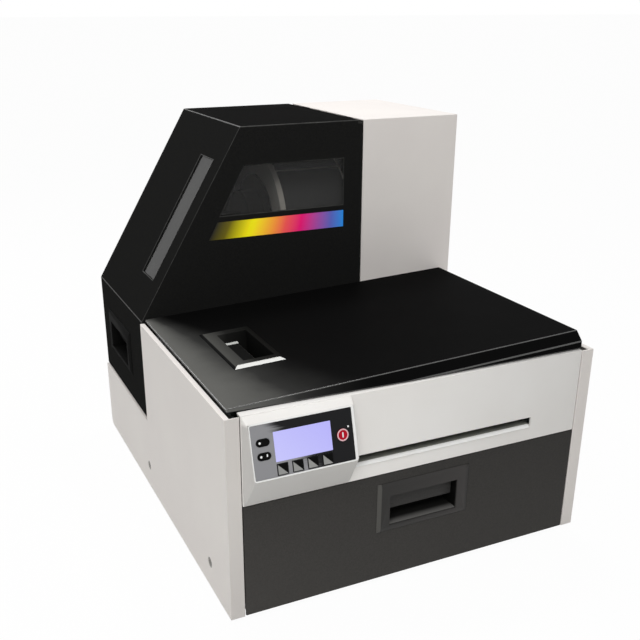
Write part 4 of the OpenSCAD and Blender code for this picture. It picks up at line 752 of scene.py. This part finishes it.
lidTrim = {"origin": (-156.5, -101.0, 263.94), "tilt": math.radians(2.2), "proud": 0.12, "thick": 0.5,
           "top_cover_pull_trim": {"body": "lid", "path": [(62.5, 0.45), (57.5, 2.5), (55.9, 2.5)],
                                   "half": [31.6, 27.0, 25.4], "middle": 0.0, "metal": pullHighlightTrim},
           "top_cover_flap_rib": {"body": "lid_pull", "path": [(-34.8, -9.1), (-38.4, -7.6), (-39.2, -9.1)],
                                  "half": [10.7, 10.7, 10.7], "middle": -1.5, "metal": ribHighlightTrim}}


def trimMesh(name, strip):
    # a strip of two parameters: a folded path (along, up) widened by its half width
    along, up = np.array(strip["path"]).T
    half = np.array(strip["half"])
    outer = np.stack([along, up + lidTrim["proud"]], -1)
    inner = outer - [0, lidTrim["thick"]]
    loop = np.vstack([outer, inner[::-1]])
    wide = np.concatenate([half, half[::-1]])
    across = strip["middle"] + np.stack([-wide, wide])
    points = np.stack([np.broadcast_to(loop[:, 0], across.shape), across,
                       np.broadcast_to(loop[:, 1], across.shape)], -1)
    tilt = lidTrim["tilt"]
    return placed(cappedMesh(name, points), lidTrim["origin"], (0, -1, 0),
                  (math.cos(tilt), 0, math.sin(tilt)))


def buildLidTrim():
    for name in ("top_cover_pull_trim", "top_cover_flap_rib"):
        strip = lidTrim[name]
        newPiece(name, trimMesh(name, strip), strip["metal"], strip["body"], False)


buildLidTrim()
print("pull trim set")


# Rim round the control face: a bead between the overlay's edge and the face's edge, whiter than the pod as a
# painted highlight, borders in mm

faceRim = {"left": 1.05, "right": 3.45, "ends": 1.6, "height": 0.08, "innerRound": 1.5, "outerRound": 3.0,
           "gap": 0.05, "foot": -0.55, "rows": 9, "bulge": 0.6}


def roundedLoop(low, high, radius, steps=10):
    # a rectangle with quarter-round corners, as points (across, up)
    corners = [(high[0] - radius, high[1] - radius), (low[0] + radius, high[1] - radius),
               (low[0] + radius, low[1] + radius), (high[0] - radius, low[1] + radius)]
    turns = [np.linspace(k, k + 1, steps) * np.pi / 2 for k in range(4)]
    return np.vstack([np.array(middle) + radius * np.stack([np.cos(turn), np.sin(turn)], -1)
                      for middle, turn in zip(corners, turns)])


def buildFaceRim():
    corners = np.array([v.co for v in nodes["control_overlay"].data.vertices]) / mm - podFace["origin"]
    flat = np.stack([corners[:, 0], corners @ podUp], -1)
    low, high = flat.min(0), flat.max(0)
    inner = roundedLoop(low - faceRim["gap"], high + faceRim["gap"], faceRim["innerRound"])
    outer = roundedLoop(low - [faceRim["left"], faceRim["ends"]],
                        high + [faceRim["right"], faceRim["ends"]], faceRim["outerRound"])
    # the bead's section: share s of the way out, height = h sin(pi s)^bulge above the face
    share = np.linspace(0, 1, faceRim["rows"])
    rise = faceRim["height"] * np.sin(np.pi * share) ** faceRim["bulge"]
    points = np.stack([np.column_stack([inner + (outer - inner) * s, np.full(len(inner), z)])
                       for s, z in zip(share, rise)])
    under = points[::-1][1:-1].copy()
    under[..., 2] = faceRim["foot"]
    mesh = weldMesh(gridMesh("pod_face_rim", np.vstack([points, under]), closeAcross=True, closeAlong=True))
    newPiece("pod_face_rim", placed(mesh, podFace["origin"], up=podUp), highlightAbs, "body")


buildFaceRim()
print("face rim set")


# Tank labels: a blank paper label with round corners on the front of each ink tank

tankLabel = {"wide": 44.0, "tall": 52.0, "up": 34.0, "round": 4.0, "thick": 0.25, "sunk": -0.4, "edge": 0.1,
             "taper": 0.996}


def buildTankLabels():
    for i in range(5):
        name = f"ink_tank_{i + 1}"
        low, high = [np.array(corner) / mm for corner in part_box(name)]
        half = np.array([tankLabel["wide"], tankLabel["tall"]]) / 2
        loop = roundedLoop(-half, half, tankLabel["round"])
        thick = tankLabel["thick"]
        rows = [(1.0, tankLabel["sunk"]), (1.0, thick - tankLabel["edge"]), (tankLabel["taper"], thick),
                (0.0, thick)]
        points = np.stack([np.column_stack([loop * s, np.full(len(loop), z)]) for s, z in rows])
        mesh = weldMesh(gridMesh(f"{name}_label", points, closeAcross=True))
        middle = ((low[0] + high[0]) / 2, low[1], low[2] + tankLabel["up"] + half[1])
        newPiece(f"{name}_label", placed(mesh, middle), labelPaper, bodyOf[name], False)


buildTankLabels()
print("tank labels stuck")


# Knob on the spindle's end: a fluted rubber grip over the turned knob

knobGrip = {"left": -130.5, "right": -105.5, "radius": 20.1, "wall": 0.5, "round": 1.2, "rows": 5,
            "swell": 0.9, "flutes": 18, "steps": 216}


def buildKnobGrip():
    # a ring round X whose radius grows by swell |sin(n a / 2)| between its plain ends
    left, right, radius, turn = (knobGrip[key] for key in ("left", "right", "radius", "round"))
    along = np.array([left, left, *np.linspace(left + turn, right - turn, knobGrip["rows"]), right, right])
    base = np.full(len(along), radius)
    base[[0, -1]] -= knobGrip["wall"]
    angle = np.linspace(0, 2 * np.pi, knobGrip["steps"], endpoint=False)
    flutes = knobGrip["swell"] * np.abs(np.sin(knobGrip["flutes"] * angle / 2))
    spread = base[:, None] + np.outer((along > left) & (along < right), flutes)
    low, high = [np.array(corner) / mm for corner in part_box("label_roll")]
    middle = (low + high) / 2
    points = np.stack([np.broadcast_to(along[:, None], spread.shape), middle[1] + spread * np.cos(angle),
                       middle[2] + spread * np.sin(angle)], -1) * mm
    mesh = weldMesh(gridMesh("spindle_knob_grip", points, closeAcross=True))
    newPiece("spindle_knob_grip", mesh, finish["rubber"], "roll")


buildKnobGrip()
print("knob grip made")


# Data socket: a plated shell over the board's moulded port at the back

dataSocket = {"x": (102.9, 118.3), "z": (273.3, 282.7), "wall": 3.15, "rear": 291.85, "deep": 10.0,
              "gap": 0.12, "rounds": (0.6, 1.0), "steps": 4}


def buildDataSocket():
    low = np.array([dataSocket["x"][0], dataSocket["z"][0]])
    high = np.array([dataSocket["x"][1], dataSocket["z"][1]])
    gap, wall, steps = (dataSocket[key] for key in ("gap", "wall", "steps"))
    inner, outer = dataSocket["rounds"]
    bore = roundedLoop(low + gap, high - gap, inner, steps)
    outside = roundedLoop(low - wall, high + wall, outer, steps)
    rear, deep = dataSocket["rear"], dataSocket["deep"]
    rows = [(outside, rear - deep), (outside, rear), (bore, rear), (bore, rear - deep)]
    points = np.stack([np.column_stack([loop[:, 0], np.full(len(loop), y), loop[:, 1]])
                       for loop, y in rows]) * mm
    mesh = weldMesh(gridMesh("data_socket_shell", points, closeAcross=True))
    newPiece("data_socket_shell", mesh, finish["zinc_steel"], "body", False)


buildDataSocket()
print("data socket plated")


# Marks and lights on the control face, in mm on the pod face; a mark is (across, up, wide, tall) on its key

def faceRing(name, across, up, profile, steps=64):
    # profile rows (radius, height) turned about the face normal
    angle = np.linspace(0, 2 * np.pi, steps, endpoint=False)
    radius, height = np.asarray(profile, float).T
    points = np.stack([across + np.outer(radius, np.cos(angle)), up + np.outer(radius, np.sin(angle)),
                       np.outer(height, np.ones(steps))], -1)
    mesh = weldMesh(gridMesh(name, points, closeAcross=True, closeAlong=True))
    return placed(mesh, podFace["origin"], up=podUp)


def faceBar(name, across, up, wide, tall, low, high, steps=24):
    # a round-ended bar: capsule outline, domed edge
    angle = np.linspace(0, 2 * np.pi, steps, endpoint=False)
    radius = min(wide, tall) / 2
    shift = np.array([max(wide - tall, 0), max(tall - wide, 0)]) / 2
    nudge = 1e-6  # keeps the points on an axis to one side of it
    sides = np.sign(np.stack([np.cos(angle + nudge), np.sin(angle + nudge)], -1)) * shift
    edge, inset = 0.05, 0.9  # the broken edge's depth in mm, and the share of the radius inside it
    rows = [(1.0, low), (1.0, high - edge), (inset, high), (0.0, high)]
    outline = np.stack([np.cos(angle), np.sin(angle)], -1)
    points = np.stack([np.hstack([sides * (share > 0) + outline * radius * share,
                                  np.full((steps, 1), level)]) for share, level in rows])
    points[..., :2] += [across, up]
    mesh = weldMesh(gridMesh(name, points, closeAcross=True))
    return placed(mesh, podFace["origin"], up=podUp)


controlMarks = {
    "power": {"across": 44.6, "up": 0.5, "ring": (5.3, 6.75), "bar": (1.7, 6.0)},
    "led": {"across": 51.9, "up": 8.5, "radius": 1.15},
    "menuUpper": {"across": -46.6, "up": 9.8}, "menuLower": {"across": -46.6, "up": -4.8},
    "keyTop": -0.1, "overlayTop": -0.6, "film": 0.08, "sunk": 0.05, "skirt": 0.3, "dome": 0.4,
    "dot": (-3.6, 0, 2.6, 2.6), "stroke": (3.2, 0.6, 1.5, 3.0),
}


def buildControlMarks():
    power, led, top = controlMarks["power"], controlMarks["led"], controlMarks["keyTop"]
    raised, base = top + controlMarks["film"], top - controlMarks["sunk"]
    inner, outer = power["ring"]
    ring = faceRing("power_ring", power["across"], power["up"],
                    [(inner, base), (inner, raised), (outer, raised), (outer, top - controlMarks["skirt"])])
    newPiece("power_ring", ring, printPink, "power_key")
    wide, tall = power["bar"]
    bar = faceBar("power_bar", power["across"], power["up"], wide, tall, base, raised)
    newPiece("power_bar", bar, printWhite, "power_key")
    arc = np.linspace(0, np.pi / 2, 8)
    seat = controlMarks["overlayTop"]
    dome = np.stack([led["radius"] * np.cos(arc), seat + controlMarks["dome"] * np.sin(arc)], -1)
    foot = [[0, seat - controlMarks["sunk"]], [led["radius"], seat - controlMarks["sunk"]]]
    lamp = faceRing("status_light", led["across"], led["up"], np.vstack([foot, dome]), 32)
    newPiece("status_light", lamp, printWhite, "body")
    for key, body, marks in (("menuUpper", "menu_up", ("dot",)),
                             ("menuLower", "menu_down", ("dot", "stroke"))):
        spot = controlMarks[key]
        meshes = [faceBar("mark", spot["across"] + a, spot["up"] + u, w, t, base, raised)
                  for a, u, w, t in (controlMarks[mark] for mark in marks)]
        joined = joinMeshes(f"menu_mark_{body}", meshes)
        newPiece(f"menu_mark_{body}", joined, printWhite, body)


buildControlMarks()
print("control marks placed")


# Camera, light and floor

view = {"location": (-0.5024, -1.0305, 0.6436), "turn": (67.70, 0.0, -24.89), "lens": 49.5,
        "shift": (0.0225, 0.0733)}
camera = bpy.data.objects.new("camera", bpy.data.cameras.new("camera"))
camera.location = view["location"]
camera.rotation_euler = [math.radians(a) for a in view["turn"]]
camera.data.lens = view["lens"]
camera.data.shift_x, camera.data.shift_y = view["shift"]
bpy.context.scene.collection.objects.link(camera)
bpy.context.scene.camera = camera

studio = {
    "fill": 0.25, "floorGlow": 0.97, "floorReach": 60.0, "floorDrop": 0.2, "aim": (0.0, -0.1, 0.25),
    "lamps": {"back": {"power": 11, "size": 0.6, "place": (-0.45, 1.6, 1.5)},
              "top": {"power": 8.6, "size": 0.34, "place": (0.385, 0.49, 1.86)},
              "front": {"power": 22.5, "size": 1.2, "place": (-0.7, -1.35, 1.75)}},
}


def seenDirectly(tree):  # 1 for rays that show the background: camera, reflections and glass
    path = addNode(tree, "LightPath")
    mirror = addNode(tree, "Math", "MAXIMUM",
                     {0: path.outputs["Is Camera Ray"], 1: path.outputs["Is Glossy Ray"]})
    return addNode(tree, "Math", "MAXIMUM", {0: mirror, 1: path.outputs["Is Transmission Ray"]})


def buildStudio():
    world = bpy.data.worlds.new("studio")
    bpy.context.scene.world = world
    world.use_nodes = True
    tree = world.node_tree
    tree.nodes.clear()
    fill = addNode(tree, "Background", inputs={"Color": (1, 1, 1, 1), "Strength": studio["fill"]})
    white = addNode(tree, "Background", inputs={"Color": (1, 1, 1, 1), "Strength": 1.0})
    mixed = addNode(tree, "MixShader", inputs={0: seenDirectly(tree), 1: fill, 2: white})
    addNode(tree, "OutputWorld", inputs={"Surface": mixed})
    for name, setting in studio["lamps"].items():
        lamp = bpy.data.objects.new(name, bpy.data.lights.new(name, "AREA"))
        lamp.data.energy = setting["power"]
        lamp.data.size = setting["size"]
        lamp.location = setting["place"]
        towards = Vector(studio["aim"]) - lamp.location
        lamp.rotation_euler = towards.to_track_quat("-Z", "Y").to_euler()
        bpy.context.scene.collection.objects.link(lamp)
    reach = studio["floorReach"]
    corners = np.array([[[-reach, -reach, 0], [-reach, reach, 0]], [[reach, -reach, 0], [reach, reach, 0]]])
    floor = bpy.data.objects.new("floor", gridMesh("floor", corners - [0, 0, studio["floorDrop"] * mm]))
    material, tree, shader, where = startMaterial("studio_paper_white", Roughness=0.9,
                                                  Base_Color=shade("#f2f2f0"))
    glow = addNode(tree, "Emission", inputs={"Color": (1, 1, 1, 1), "Strength": 1.0})
    amount = addNode(tree, "Math", "MULTIPLY", {0: seenDirectly(tree), 1: studio["floorGlow"]})
    mixed = addNode(tree, "MixShader", inputs={0: amount, 1: shader, 2: glow})
    tree.links.new(mixed.outputs[0], tree.nodes["Material Output"].inputs["Surface"])
    floor.data.materials.append(material)
    bpy.context.scene.collection.objects.link(floor)


buildStudio()
bpy.context.scene.view_settings.view_transform = "Standard"
print("studio ready")
